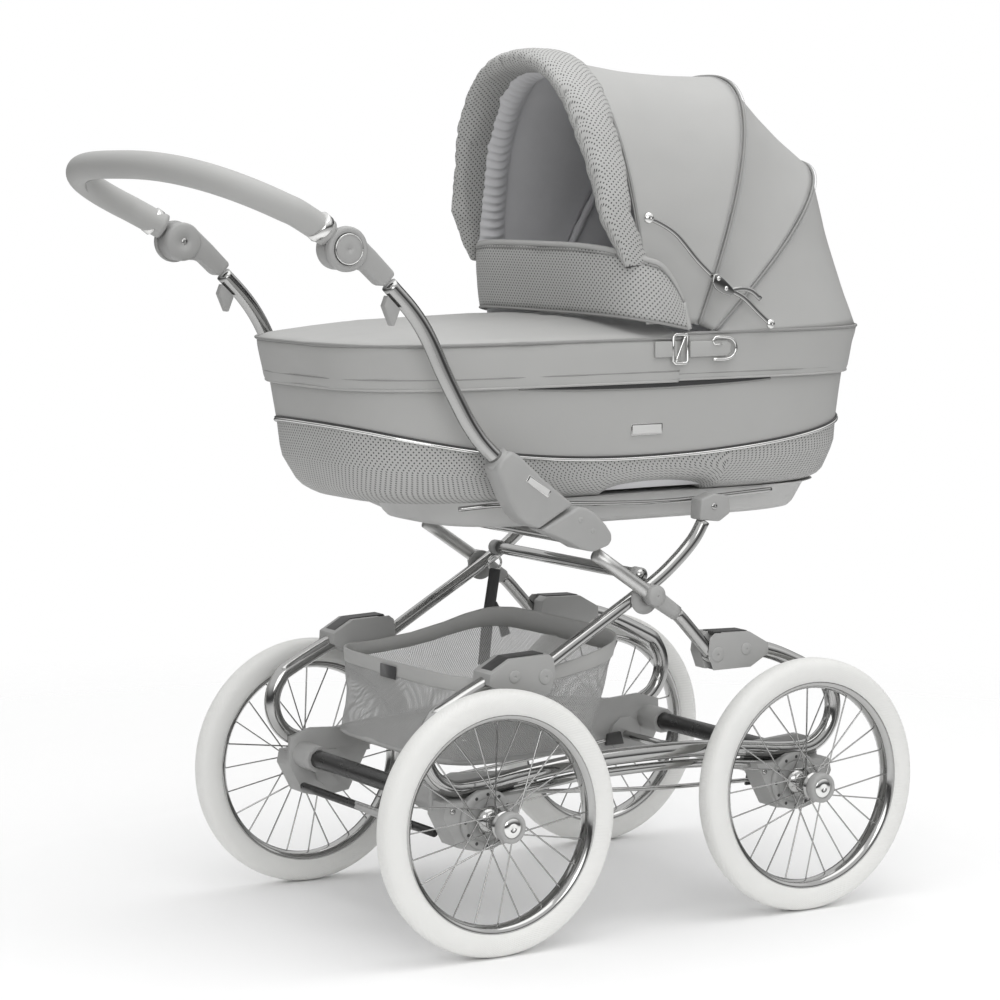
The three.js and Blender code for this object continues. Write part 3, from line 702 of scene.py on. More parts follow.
RIM = [
    (148, -15), (149.6, -13.6), (147, -12), (143.5, -10), (141, 0), (143.5, 10), (147, 12), (149.6, 13.6),
       (148, 15), (143, 13.4), (138.6, 9), (136.4, 0), (138.6, -9), (143, -13.4)]
HUB = [
    (6.4, -22), (13, -22), (20, -20), (
        20.6, -17
    ), (13, -15), (9, -9), (9, 9), (13, 15), (20.6, 17), (20, 20),
       (15, 22), (15, 27), (6.4, 27)]
CAP = [(10, 26), (20.4, 26), (21.2, 30), (20.8, 38), (18.6, 41), (14.6, 40.5), (14, 36), (10, 36)]
DISC = [(0.4, 34), (14.2, 34), (14.2, 38.4), (13, 39.6), (7, 40.4), (0.4, 40.7)]


def build_wheel(end, side):
    sign = SIDES[side]
    centre = (sign * TRACK, (-1 if end == "front" else 1) * HALF_BASE, TYRE_RADIUS)
    body, tag = f"wheel_{end}_{side}", f"{end}_{side}"
    outline = rounded_ring(TYRE_SEAT - 2, TYRE_RADIUS, TYRE_HALF)
    tyre = turned(f"rubber_tyre_{tag}", outline, centre, white_rubber, 128)
    finished(tyre, body, [f"tyre_{tag}"])
    rim = turned("rim", RIM, centre, chrome, 96)
    hub = turned("hub", HUB, centre, chrome, 32, sign)
    disc = turned("disc", DISC, centre, bright_chrome, 32, sign)
    cap = turned(f"hub_cap_{tag}", CAP, centre, grey_plastic, 40, sign)
    wires = grown("wires", lacing, lacing_inputs, Centre=row_frame([centre])[0].tolist())
    finished(merged(f"laced_wheel_{tag}", [rim, hub, disc, wires]), body, [f"wheel_{tag}"])
    finished(cap, body)


for end in ("front", "rear"):
    for side in SIDES:
        build_wheel(end, side)

# %% [markdown]
# ## Chassis
# The spring on each side is a single tube, bent to a C at both ends and joined by the rail below. The plastic
# parts keep the CAD's shape: a copy of the node is cleaned of its facets and its edges are rounded.

# %% Springs, axles and tie tubes
SPRING_X, SPRING_RADIUS = 217, 11.5
CURL_Y, CURL_Z, CURL_RADIUS = 283, 278, 57
AXLE_REACH, AXLE_RADIUS = 305, 6


def spring_path():
    half = [(SPRING_X, 184, 377), (SPRING_X, 240, 361)]
    for angle in np.radians(np.linspace(57, -90, 9)):
        half.append(
            (SPRING_X, CURL_Y + CURL_RADIUS * math.cos(angle), CURL_Z + CURL_RADIUS * math.sin(angle))
        )
    half += [(SPRING_X, 240, 223), (SPRING_X, 185, 230), (SPRING_X, 100, 238), (SPRING_X, 0, 240)]
    return np.array(half + [(x, -y, z) for x, y, z in half[-2::-1]], float)


for side, sign in SIDES.items():
    path = spring_path() * (sign, 1, 1)
    spring = tube(f"c_spring_{side}", path, SPRING_RADIUS, chrome, sides=28)
    finished(spring, "chassis", [f"spring_tube_{side}"])
    stay = path[(np.abs(path[:, 1]) < 245) & (path[:, 2] < 260)] + (-sign * 2, 0, -21)
    lower = tube(f"lower_rail_{side}", stay, 6.5, chrome)
    finished(lower, "chassis")
for end, y in (("front", -1), ("rear", 1)):
    axle = tube(
        f"steel_axle_{end}", [(x, y * HALF_BASE, TYRE_RADIUS) for x in (-AXLE_REACH, AXLE_REACH)],
        AXLE_RADIUS, chrome, step=60
    )
    finished(axle, "chassis", [f"axle_{end}"])
    tie = tube(f"tie_bar_{end}", [(-174, y * 300, 203), (174, y * 300, 203)], 13, black_steel, 28, step=40)
    finished(tie, "chassis", [f"tie_tube_{end}"])
print("springs, axles and ties in place")


# %% Blocks, brackets and their rivets
def dome(name, centre, radius, height, material, sign=1, facets=20):
    """A rivet's head, or any low button, facing out along X."""
    steps = np.linspace(0.06, math.pi / 2, 6)
    cap = [(radius * math.sin(a), height * math.cos(a)) for a in steps]
    return turned(name, [*cap, (radius, -1.2), (0.4, -1.2)], centre, material, facets, sign)


FRONT_PIN, REAR_PIN = (-118, 370), (160, 363)
BLOCK_TOP = {"front": (*FRONT_PIN, -1), "rear": (*REAR_PIN, 1)}
for side, sign in SIDES.items():
    for end, (y, z, out) in BLOCK_TOP.items():
        tag = f"{end}_{side}"
        block = softened(f"spring_block_{tag}", f"hinge_block_{tag}", grey_plastic, 2.4)
        finished(block, "chassis", [f"spring_block_{tag}"])
        pins = [
            dome("pin", (sign * 239.2, y + out * dy, z + dz), r, 2.2, grey_plastic, sign) for dy, dz, r in
            [(3, 2, 11), (52, 6, 9)]
        ]
        finished(merged(f"pin_caps_{tag}", pins), "chassis")
        lid_line = [(0, 30), (2, 33.4), (57, 31.6), (84, 16), (82, 14), (56, 29)]
        lid = plate(
            "lid", [(y + out * dy, z + dz) for dy, dz in lid_line], (204, 231), dark_plastic, 0.8, sign
        )
        lid.name = f"block_lid_{tag}"
        finished(lid, "chassis")
        bracket = softened(f"hub_bracket_{tag}", f"hub_carrier_{tag}", grey_plastic, 1.6)
        finished(bracket, "chassis", [f"hub_bracket_{tag}"])
        hub_y = out * HALF_BASE
        drum = turned(
            "drum", [(28, 236), (40.4, 236), (41, 238), (41, 241), (39, 243), (31, 243), (28, 240)],
                      (0, hub_y, TYRE_RADIUS), grey_plastic, 64, sign)
        knobs = [
            dome(
                "rivet", (sign * 242.6, hub_y + 35 * math.cos(a), TYRE_RADIUS + 35 * math.sin(a)), 2.6,
                1.4, dark_plastic, sign, 10
            )
            for a in np.linspace(0, 2 * math.pi, 12, endpoint=False)
        ]
        heads = [dome("rivet", (sign * 238.4, hub_y + out * dy, TYRE_RADIUS + dz), 4.4, 2, chrome, sign, 14)
                 for dy, dz in [(-52, 18), (52, 16), (8, -36)]]
        finished(merged(f"brake_drum_{tag}", [drum, *knobs, *heads]), "chassis")
print("blocks and brackets softened")

# %% [markdown]
# ## Scissor legs, locks and handle
# Legs and arms are plain bent tubes. The lock halves are moulded shells that meet on a slanted line, and the
# handle folds about its upper end.

# %% Legs and cross tubes
CROSSING = (-17, 462)
FRONT_LEG_X, REAR_LEG_X, ARM_X = 228, 206, 237
KNEE, LOCK_END = (-60, 432), (76, 524.3)


def along_leg(share):
    """A point of the front leg's straight part, from its knee up to the lock."""
    return [KNEE[k] + share * (LOCK_END[k] - KNEE[k]) for k in (0, 1)]


for side, sign in SIDES.items():
    at_x = sign * FRONT_LEG_X
    foot = [(at_x, -115.5, 372.6), (at_x, -90, 400), (at_x, -66, 425.6), (at_x, -56, 434.4)]
    lower = tube("lower", foot, 9.3, chrome, 24)
    upper = tube("upper", [(at_x, *along_leg(0.03)), (at_x, *along_leg(1))], 9.5, satin_steel, 24, step=40)
    sleeve = tube(
        "sleeve", [(at_x, *along_leg(a)) for a in (0.02, 0.3)], np.linspace(10.6, 12.2, 6),
        grey_plastic, 24, step=9
    )
    boss = turned(
        "boss", [(0.5, 224), (13, 224), (14.5, 227), (14.5, 240), (12.5, 243), (4, 244.6), (0.5, 244.8)],
                  (0, *CROSSING), grey_plastic, 40, sign)
    backing = turned(
        "backing", [(0.5, 214.5), (21, 214.5), (22, 216), (22, 218), (0.5, 218)], (0, -12, 456),
        grey_plastic, 40, sign
    )
    eye = turned("eye", [(4.2, 219), (10.6, 219), (11, 221), (11, 235), (10.6, 237), (4.2, 237)],
                 (0, *FRONT_PIN), chrome, 28, sign)
    leg = merged(f"front_leg_tube_{side}", [lower, upper, sleeve, boss, backing, eye])
    finished(leg, "front_legs", [f"front_leg_{side}"])
    route = [
        (REAR_PIN[0] - 3, REAR_PIN[1] + 2), (92, 403), (22, 443), (-38, 478), (-74, 505), (-102, 532),
        (-118, 556)
    ]
    shaft = tube("shaft", [(sign * REAR_LEG_X, y, z) for y, z in route], 9.3, chrome, 24)
    support = plate(
        "support", [(-106, 559), (-140, 555), (-158, 566), (-156, 590), (-131, 595), (-108, 588)],
                    (190, 216), grey_plastic, 3, sign)
    eye = turned("eye", [(4.2, 197), (10.6, 197), (11, 199), (11, 213), (10.6, 215), (4.2, 215)],
                 (0, *REAR_PIN), chrome, 28, sign)
    rivet = dome("rivet", (sign * 216, -130, 577), 5, 2, chrome, sign)
    leg = merged(f"rear_leg_tube_{side}", [shaft, support, eye, rivet])
    finished(leg, "rear_legs", [f"rear_leg_{side}"])
centre = tube("centre_tie", [(-196, -22, 485), (196, -22, 485)], 8.5, chrome, 24, step=40)
collars = [
    tube("collar", [(s * 178, -22, 485), (s * 194, -22, 485)], 10.8, grey_plastic, 24, step=6)
    for s in (-1, 1)
]
finished(merged("centre_tie_bar", [centre, *collars]), "rear_legs", ["centre_cross_tube"])
lock_tie = tube("lock_tie_bar", [(-212, 104, 546), (212, 104, 546)], 8, chrome, 24, step=40)
finished(lock_tie, "front_legs", ["lock_cross_tube"])
print("legs crossed at", CROSSING)

# %% Locks, arms and triggers
LOWER = [
    (121, 594), (108, 592), (92, 583), (76, 567), (67, 555), (66, 545), (72, 538), (96, 531),
    (116, 536), (134, 546), (180, 566)
]
UPPER = [
    (127, 597.5), (182, 567.3), (202, 575), (215, 586), (230, 610), (238, 628), (249, 651), (243, 664),
    (226, 674.5), (212, 667), (179, 637)
]
ARM_ROUTE = [
    (240, 664), (254, 677), (268, 692), (284, 714), (297, 736), (319, 776), (345, 828), (369, 862),
    (402, 896)
]
for side, sign in SIDES.items():
    lower = plate("lower", LOWER, (215, 255.5), grey_plastic, 6, sign)
    rivets = [
        dome("rivet", (sign * 255.3, y, z), 4.2, 1.4, grey_plastic, sign)
        for y, z in [(98, 560), (118, 576)]
    ]
    finished(
        merged(f"lock_lower_shell_{side}", [lower, *rivets]), "front_legs",
        [f"lock_lower_{side}"]
    )
    upper = plate("upper", UPPER, (215, 255.5), grey_plastic, 6, sign)
    along = Vector((0, 36, 25)).normalized()
    label = [(185 + a * along.y - b * along.z, 625 + a * along.z + b * along.y)
             for a, b in [(-21, -5), (21, -5), (21, 5), (-21, 5)]]
    frame_plate = plate("frame_plate", label, (254.8, 256.2), bright_chrome, 0.5, sign)
    inner = [(185 + (y - 185) * 0.9, 625 + (z - 625) * 0.82) for y, z in label]
    blank = plate("blank", inner, (255.4, 256.6), blank_plate, 0.4, sign)
    collar = tube(
        "collar", [(sign * ARM_X, 226, 650), (sign * ARM_X, 241, 665.5)], 16.5, grey_plastic, 28, step=5
    )
    finished(
        merged(f"lock_upper_shell_{side}", [upper, frame_plate, blank, collar]), "handle",
        [f"lock_upper_{side}"]
    )
    arm = tube(f"bent_arm_{side}", [(sign * ARM_X, y, z) for y, z in ARM_ROUTE], 11, chrome, 28)
    finished(arm, "handle", [f"handle_arm_{side}"])
    trigger = softened(f"fold_trigger_{side}", f"finger_trigger_{side}", grey_plastic, 1.2)
    finished(trigger, f"fold_trigger_{side}", [f"fold_trigger_{side}"])
print("locks and arms on both sides")

# %% Knuckles and buttons
KNUCKLE = (472, 943)
NECK = [
    (397, 909), (412, 894), (420, 896), (442, 916), (462, 917.5), (482, 920), (460, 960), (449, 961),
    (426, 940), (400, 914)
]
for side, sign in SIDES.items():
    neck = plate("neck", NECK, (223.5, 247.5), grey_plastic, 5, sign)
    disc = turned(
        "disc", [(0.5, 216.5), (24, 216.5), (26.5, 219), (27, 223), (27, 248), (0.5, 248)],
        (0, *KNUCKLE), grey_plastic, 56, sign
    )
    screw = dome("screw", (sign * 217, *KNUCKLE), 5, 1.6, chrome, -sign)
    finished(
        merged(f"knuckle_housing_{side}", [neck, disc, screw]), "handle",
        [f"knuckle_sleeve_{side}"]
    )
    cap = turned(
        f"knuckle_cover_{side}", [
            (20.6, 248.4), (29, 248.4), (29.4, 250), (29, 255), (27, 257.6), (22, 258), (20.6, 257)
        ],
                 (0, *KNUCKLE), grey_plastic, 64, sign)
    finished(cap, "handlebar", [f"knuckle_cap_{side}"])
    rim = turned(
        "rim", [(18.8, 258), (19.8, 258), (20.2, 259), (19.8, 260.4), (18.8, 260.4)], (0, *KNUCKLE),
        bright_chrome, 64, sign
    )
    face = turned(
        "face", [(0.5, 253), (19.6, 253), (19.6, 258.6), (18, 259.4), (9, 260.2), (0.5, 260.4)],
        (0, *KNUCKLE), grey_plastic, 64, sign
    )
    button = merged(f"round_button_{side}", [rim, face])
    finished(button, f"knuckle_button_{side}", [f"knuckle_button_{side}"])


# %% Handlebar
GRIP_HALF, GRIP_POWER = 247, 2 / 2.8
GRIP_ROOT, GRIP_REACH = (512, 976), (162, 74)


def grip_path():
    loop = []
    for angle in np.linspace(0, math.pi, 41):
        c, s = math.cos(angle), math.sin(angle)
        reach = s**GRIP_POWER
        x = GRIP_HALF * signed(c, GRIP_POWER)
        loop.append((x, GRIP_ROOT[0] + reach * GRIP_REACH[0], GRIP_ROOT[1] + reach * GRIP_REACH[1]))
    return [(240, 494, 964), *loop[1:-1], (-240, 494, 964)]


path = through(grip_path(), 6)
swell = 18 + 0.5 * np.sin(np.linspace(0, math.pi, len(path)))
grip = surface("padded_grip", tube_rows(path, swell, 32), grip_leather, loop=True, lids=True)
finished(grip, "handlebar", ["handle_grip"])
seam = tube(
    "grip_seam", [
        (x * 0.985, y - 10 * math.sin(math.pi * i / 40), z - 16.6)
        for i, (x, y, z) in enumerate(grip_path()[1:-1])
    ],
            1.5, seam_leather, 8)
finished(seam, "handlebar")
bands = []
for sign in SIDES.values():
    centre, ahead = np.array([sign * 244.5, 507, 971.5]), np.array([sign * 0.12, 0.7, 0.55])
    ahead /= np.linalg.norm(ahead)
    ring = [centre + ahead * a for a in (-6, -5, 5, 6)]
    bands.append(
        surface("band", tube_rows(ring, [18.6, 19.8, 19.8, 18.6], 48), bright_chrome, loop=True, lids=True)
    )
finished(merged("grip_bands", bands), "handlebar")
print("handlebar length", round(float(np.linalg.norm(np.diff(path, axis=0), axis=1).sum())), "mm")

# %% Brake pedal and its rods
shaft = tube("shaft", [(-186, 306, 158), (186, 306, 158)], 6, black_steel, 20, step=40)
tread = plate(
    "tread", [(300, 156), (306, 151), (330, 161), (352, 172.5), (349, 178), (326, 168)], (-135, -45),
    grey_plastic, 1.6
)
grips = [
    tube("rib", [(-128 + 12 * i, 308, 160.5), (-128 + 12 * i, 348, 179)], 2.2, grey_plastic, 8, step=10)
    for i in range(8)
]
finished(merged("foot_brake", [shaft, tread, *grips]), "brake_pedal", ["brake_pedal"])
rods = []
for sign in SIDES.values():
    rods.append(
        tube(
            "rod",
            [(sign * 20, 282, 185), (sign * 60, 150, 176), (sign * 140, -60, 172), (sign * 186, -226, 176)],
            3.2, chrome, 12
        )
    )
    rods.append(
        plate(
            "lug", [(-246, 168), (-212, 168), (-216, 186), (-240, 188)], (178, 184), dark_plastic, 1.5,
            sign
        )
    )
finished(merged("brake_rods", rods), "chassis")
print("brake ready")

# %% [markdown]
# ## Cloth helpers
# Real cloth is never quite smooth, so every soft surface is moved in and out by a slow, seeded noise.


# %% Wrinkles and sheets
def wrinkled(obj, size, depth, seed=0.0):
    """Moves a soft surface along its normals by a slow noise. Size and depth are in millimetres."""
    normals = [v.normal.copy() for v in obj.data.vertices]
    for vertex, normal in zip(obj.data.vertices, normals):
        place = vertex.co / (size * MM) + Vector((seed, seed, seed))
        vertex.co += normal * (noise.fractal(place, 1.0, 2.0, 2) * depth * MM)
    return obj


def cloth(obj):
    """Returns the piece as it is."""
    return obj


def stitches_tree():
    """Short stitches along a line: a capsule copied at an even distance and turned to follow it."""
    tree = bpy.data.node_groups.new("stitches", "GeometryNodeTree")
    tree.interface.new_socket("Geometry", in_out="INPUT", socket_type="NodeSocketGeometry")
    tree.interface.new_socket("Geometry", in_out="OUTPUT", socket_type="NodeSocketGeometry")
    ids = {name: input_socket(tree, name, "NodeSocketFloat", value) for name, value in
           {"Spacing": 0.0045, "Length": 0.0028, "Radius": 0.0004}.items()}
    given = tree.nodes.new("NodeGroupInput").outputs
    line = tree.nodes.new("GeometryNodeMeshToCurve")
    spread = tree.nodes.new("GeometryNodeCurveToPoints")
    spread.mode = "LENGTH"
    stitch = tree.nodes.new("GeometryNodeMeshCylinder")
    stitch.inputs["Vertices"].default_value = 5
    copies = tree.nodes.new("GeometryNodeInstanceOnPoints")
    real = tree.nodes.new("GeometryNodeRealizeInstances")
    painted = tree.nodes.new("GeometryNodeSetMaterial")
    painted.inputs["Material"].default_value = thread
    for source, target in [
        (given["Geometry"], line.inputs[0]), (line.outputs[0], spread.inputs[0]), (
            given["Spacing"], spread.inputs["Length"]
        ),
        (given["Length"], stitch.inputs["Depth"]), (given["Radius"], stitch.inputs["Radius"]),
        (spread.outputs["Points"], copies.inputs["Points"]), (stitch.outputs[0], copies.inputs["Instance"]),
        (spread.outputs["Rotation"], copies.inputs["Rotation"]), (copies.outputs[0], real.inputs[0]),
        (real.outputs[0], painted.inputs[0]), (
            painted.outputs[0], tree.nodes.new("NodeGroupOutput").inputs[0]
        ),
    ]:
        tree.links.new(source, target)
    return tree, ids


stitching, stitching_inputs = stitches_tree()


def stitched(name, lines):
    """A row of stitches along each line, as one plain mesh."""
    points, edges = [], []
    for line in lines:
        edges += [(len(points) + i, len(points) + i + 1) for i in range(len(line) - 1)]
        points += [list(p) for p in line]
    obj = bpy.data.objects.new(name, bpy.data.meshes.new(name))
    obj.data.from_pydata(row_frame(points).tolist(), edges, [])
    scene.collection.objects.link(obj)
    modifier = obj.modifiers.new("stitch", "NODES")
    modifier.node_group = stitching
    modifier[stitching_inputs["Spacing"]] = 0.0045
    return baked(obj)


# %% [markdown]
# ## Carrycot
# The cot's plan is straight-sided with full round ends, and it widens upward. One function gives its
# outline at any height, and everything on the cot follows that: the perforated band, the chrome piping, the
# vent and the covers over the rim.

# %% The cot's outline
COT_LEVELS = np.array([  # height, half width, rear end, front end
    (
        597, 180, 360, -405
    ), (650, 193, 390, -425), (753, 203, 405, -436), (812, 204, 418, -448), (840, 204, 421, -451),
])
FLOOR_Z, RIM_Z, HEM_Z, SPLIT_Y = 597, 812, 753, -72
ROUND_END = 250


def oval(angle, z, out=0.0, fullness=3.2):
    half, rear, front = (np.interp(z, COT_LEVELS[:, 0], COT_LEVELS[:, k]) for k in (1, 2, 3))
    c, s = math.cos(angle), math.sin(angle)
    bulge = abs(s) ** (2 / fullness)
    x = (half + out) * signed(c, 2 / fullness)
    y = rear + out - ROUND_END + ROUND_END * bulge if s >= 0 else front - out + ROUND_END - ROUND_END * bulge
    return np.array([x, y, z])


# The outline's corners, closed by the straight run of the right side.
CORNERS = np.append(np.linspace(-math.pi, math.pi, 721), -math.pi)
LEFT = slice(180, 541)
steps = np.linalg.norm(np.diff([oval(a, 700) for a in CORNERS], axis=0), axis=1)
SHARES = np.concatenate([[0], np.cumsum(steps)]) / steps.sum()
REAR = SHARES[540]


def cot_point(share, z, out=0.0):
    """A point of the outline. The share goes round by the front, the left side and the rear."""
    share = share % 1
    k = max(int(np.searchsorted(SHARES, share)), 1)
    t = (share - SHARES[k - 1]) / (SHARES[k] - SHARES[k - 1])
    return (1 - t) * oval(CORNERS[k - 1], z, out) + t * oval(CORNERS[k], z, out)


@functools.lru_cache(None)
def left_ys(z):
    return [oval(a, z)[1] for a in CORNERS[LEFT]]


def left_share(y, z=780):
    """The share at which the left side passes a given Y."""
    return float(np.interp(y, left_ys(round(z, -1)), SHARES[LEFT]))


ROUND = np.linspace(0, 1, 220, endpoint=False)


def piping_z(y):
    ends = 55 if y > -15 else 42
    return 648 + ends * min(1.0, abs(y + 15) / 413) ** 2.1


def sole_z(x, y):
    """The band's lower edge rises in a low arch over the tray on both sides."""
    arch = max(0.0, 1 - ((y + 59) / 92) ** 2)
    return FLOOR_Z + 16 * arch**0.5 * (abs(x) > 150)


# %% Band, piping and walls
band_rows = []
for share in (0, 0.04, 0.1, 0.18, 0.35, 0.5, 0.65, 0.8, 0.9, 1):
    row = []
    for around in ROUND:
        top = piping_z(cot_point(around, 670)[1])
        foot = cot_point(around, FLOOR_Z)
        z = sole_z(foot[0], foot[1]) + share * (top - sole_z(foot[0], foot[1]))
        tuck = -14 * max(0.0, 1 - share / 0.18) ** 2
        row.append(cot_point(around, z, tuck + 1.5 * math.sin(math.pi * share)))
    band_rows.append(row)
band_rows.insert(0, [p * (0.9, 0.95, 1) + (0, -1, 4) for p in band_rows[0]])
band = away_from(surface("perforated_band", band_rows, perforated, loop=True), (0, -15, 650))
finished(wrinkled(band, 90, 0.5), "carrycot")
piping = [cot_point(around, piping_z(cot_point(around, 670)[1]), 1.6) for around in ROUND]
trim = merged("chrome_piping", [
    tube("bright", piping, 2.5, bright_chrome, 10, smooth_path=False, closed=True),
    # The dark tube just above the piping is painted shade in the groove between piping and wall.
    tube("painted_groove_shade", [p + (0, 0, 3.3) for p in piping], 1.6, dark_plastic, 8, smooth_path=False, closed=True),
])
finished(trim, "carrycot")
wall_rows = []
for share in np.linspace(0, 1, 9):
    row = []
    for around in ROUND:
        low = piping_z(cot_point(around, 670)[1])
        row.append(cot_point(around, low + share * (RIM_Z - low)))
    wall_rows.append(row)
wall_rows += [
    [cot_point(around, RIM_Z + rise, inset) for around in ROUND]
    for rise, inset in [(1, -3), (0.5, -8)]
]
wall_rows += [[cot_point(around, z, -11) for around in ROUND] for z in (RIM_Z - 8, 760, 700, 650, 620, 604)]
wall_rows += [
    [p * (s, s, 0) + (0, -15 * (1 - s), 603) for p in (cot_point(around, 604, -11) for around in ROUND)]
    for s in (0.9, 0.5, 0.02)
]
wall = surface("cot_wall", wall_rows, [leatherette, lining], loop=True, pick=lambda i, j: int(i > 0.42))
outer = away_from(wall, (0, -15, 200))
lean = sum(p.normal.dot(Vector((p.center.x, 0, 0))) for p in outer.data.polygons if p.material_index == 0)
if lean < 0:
    outer.data.flip_normals()
finished(wrinkled(outer, 110, 0.7), "carrycot", ["cot_body"])
print("cot wall", len(outer.data.polygons), "faces")


# %% Vent, nameplate and tray
def on_side(sign, y, z, out):
    """The point of the cot's side at a given Y."""
    return cot_point(left_share(y, z), z, out) * (sign, 1, 1)


vents, plates = [], []
for sign in SIDES.values():
    ys = np.linspace(182, -232, 60)
    gap = 9.0 * np.sin(np.linspace(0.12, math.pi - 0.12, 60)) ** 0.6
    rows = [[on_side(sign, y, 754.5 - g * k, 1.1 + 0.5 * k) for y, g in zip(ys, gap)] for k in (-0.2, 1.0)]
    # A near-black sheet fills each vent slit: painted shade inside the opening.
    vents.append(away_from(surface("vent", rows, webbing), (0, -15, 750)))
    lip = [on_side(sign, y, 753.5 - g, 1.6) for y, g in zip(ys, gap)]
    vents.append(tube("lip", lip, 1.3, seam_leather, 8, smooth_path=False))
    rim, face = [
        [(y, z) for y, z in [(-52 - w, 682 - h), (-4 + w, 682 - h), (-4 + w, 694 + h), (-52 - w, 694 + h)]]
                 for w, h in [(2, 2), (0, 0)]]
    side_x = abs(on_side(sign, -28, 688, 0)[0])
    plates.append(plate("rim", rim, (side_x - 1, side_x + 1.5), bright_chrome, 0.5, sign))
    plates.append(plate("face", face, (side_x, side_x + 2.1), blank_plate, 0.4, sign))
finished(merged("cot_vents", vents), "carrycot")
finished(merged("blank_nameplates", plates), "carrycot")


PAN_END, PAN_POWER = 220, 0.625


def ring_at(half, rear, front, z, count=120):
    row = []
    for a in np.linspace(0, 2 * math.pi, count, endpoint=False):
        c, s = math.cos(a), math.sin(a)
        bulge = PAN_END * abs(s) ** PAN_POWER
        y = rear - PAN_END + bulge if s >= 0 else front + PAN_END - bulge
        row.append((half * signed(c, PAN_POWER), y, z))
    return row


tray_rows = [ring_at(*level) for level in [
    (144, 229, -359, 557), (
        150, 235, -365, 558.5
    ), (154, 241, -371, 565), (163, 255, -385, 592), (170, 268, -398, 596.7)]]
tray = surface("cot_pan", tray_rows, tray_plastic, loop=True, lids=True)
finished(sharpen(tray, 50), "carrycot", ["cot_tray"])
rails = []
for sign in SIDES.values():
    rails.append(
        tube(
            "rail",
            [
                (sign * 157, 250, 589), (sign * 176, 170, 593), (sign * 178, -60, 584),
                (sign * 172, -260, 590)
            ],
            3.4, chrome, 12
        )
    )
finished(merged("pan_rails", rails), "carrycot")
print("tray and rails done")

# %% [markdown]
# The mattress is the classic cloth job: a closed pad, blown up by a little pressure, so that its faces crown
# and its edges stay narrow. It starts smaller than its final size, because it swells.


# %% Pressure padding
def puffed(obj, pressure=4.0, cap=10.0, voxel=None):
    """Blows a closed pad up with the cloth simulation, and lets no point move more than cap millimetres."""
    if voxel:
        applied(obj, "REMESH", mode="VOXEL", voxel_size=voxel * MM)
    start = np.array([v.co for v in obj.data.vertices])
    modifier = obj.modifiers.new("cloth", "CLOTH")
    modifier.settings.use_pressure = True
    modifier.settings.uniform_pressure_force = pressure
    modifier.settings.effector_weights.gravity = 0
    modifier.settings.quality = 5
    for number in range(1, 21):
        scene.frame_set(number)
    evaluated = obj.evaluated_get(bpy.context.evaluated_depsgraph_get())
    shaped = np.array([v.co for v in evaluated.data.vertices])
    obj.modifiers.clear()
    scene.frame_set(1)
    move = shaped - start
    length = np.linalg.norm(move, axis=1)[:, None]
    move *= np.minimum(1, cap * MM / np.maximum(length, 1e-9))
    obj.data.vertices.foreach_set("co", (start + move).ravel())
    obj.data.update()
    print(obj.name, "swelled by up to", round(float(length.max() / MM), 1), "mm")
    return obj


pad = surface(
    "mattress_start", [ring_at(160, 340, -385, z) for z in (612, 618, 630, 640)], cushion_cotton,
    loop=True, lids=True
)
pad = puffed(pad, 2.5, 7, 6.0)
pad.name = "cot_mattress"
for polygon in pad.data.polygons:
    polygon.use_smooth = True
finished(pad, "carrycot", ["mattress"])

# %% [markdown]
# ## Apron and hood skirt
# A cover hangs over the rim all the way round. Behind the buckles it is the apron, which is crowned over the
# cot, and before them it is the hood's skirt. Both have a piped edge at the rim and a hem: a rolled fold with
# a thin dark line above it, which is painted shade along its crease.

# %% Apron
COVER = [(HEM_Z, 5.2), (760, 6.4), (768, 6.2), (786, 6.6), (800, 6.8), (808, 6.2), (813, 4)]
SPLIT = left_share(SPLIT_Y)
behind = np.linspace(SPLIT, 2 * REAR - SPLIT, 190)
apron_rows = [[cot_point(around, z, out) for around in behind] for z, out in COVER]
apex = np.array([0, SPLIT_Y - 4, 0])
for share in (0.975, 0.93, 0.86, 0.76, 0.62, 0.45, 0.25, 0.04):
    row = []
    for around in behind:
        edge = cot_point(around, 813, 3)
        p = apex + share * (edge - apex)
        p[2] = 816 + 24 * (1 - share**3.2)
        p[1] = max(p[1], SPLIT_Y - 6)
        row.append(p)
    apron_rows.append(row)
apron = away_from(surface("apron_cover", apron_rows, leatherette), (0, 100, 600))
wrinkled(apron, 70, 1.6, 3)
finished(apron, "carrycot", ["apron"])
cloth(apron)
edge = tube("rim_piping", [cot_point(around, 812.5, 6.4) for around in behind], 2.3, seam_leather, 10)
finished(wrinkled(edge, 40, 0.8, 3), "carrycot")
hem = merged("apron_hem", [
    tube("fold", [cot_point(around, 753.4, 4.9) for around in behind], 1.9, leatherette, 10),
    # A thin dark line along the hem's crease: painted shade.
    tube("crease", [cot_point(around, 767, 6.0) for around in behind], 0.9, seam_leather, 8),
])
finished(hem, "carrycot")

# %% Hood skirt
ahead_arc = np.linspace(2 * REAR - SPLIT, 1 + SPLIT, 190)
SKIRT = [(755, 4.6), (762, 5.6), (775, 5.8), (795, 6.2), (808, 7.4), (816, 7.8), (819, 6.4)]
skirt = surface(
    "hood_skirt", [[cot_point(around, z, out) for around in ahead_arc] for z, out in SKIRT], leatherette
)
away_from(skirt, (0, -100, 780))
wrinkled(skirt, 60, 1.0, 8)
finished(skirt, "carrycot")
cloth(skirt)
skirt_edge = merged("skirt_edges", [
    tube("top", [cot_point(around, 819, 7.6) for around in ahead_arc], 2.2, seam_leather, 10),
    tube("hem", [cot_point(around, 755, 4.6) for around in ahead_arc], 1.6, leatherette, 10),
    # A thin dark line along the crease above the hem: painted shade.
    tube("crease", [cot_point(around, 763, 5.2) for around in ahead_arc], 0.8, seam_leather, 8),
])
finished(skirt_edge, "carrycot")
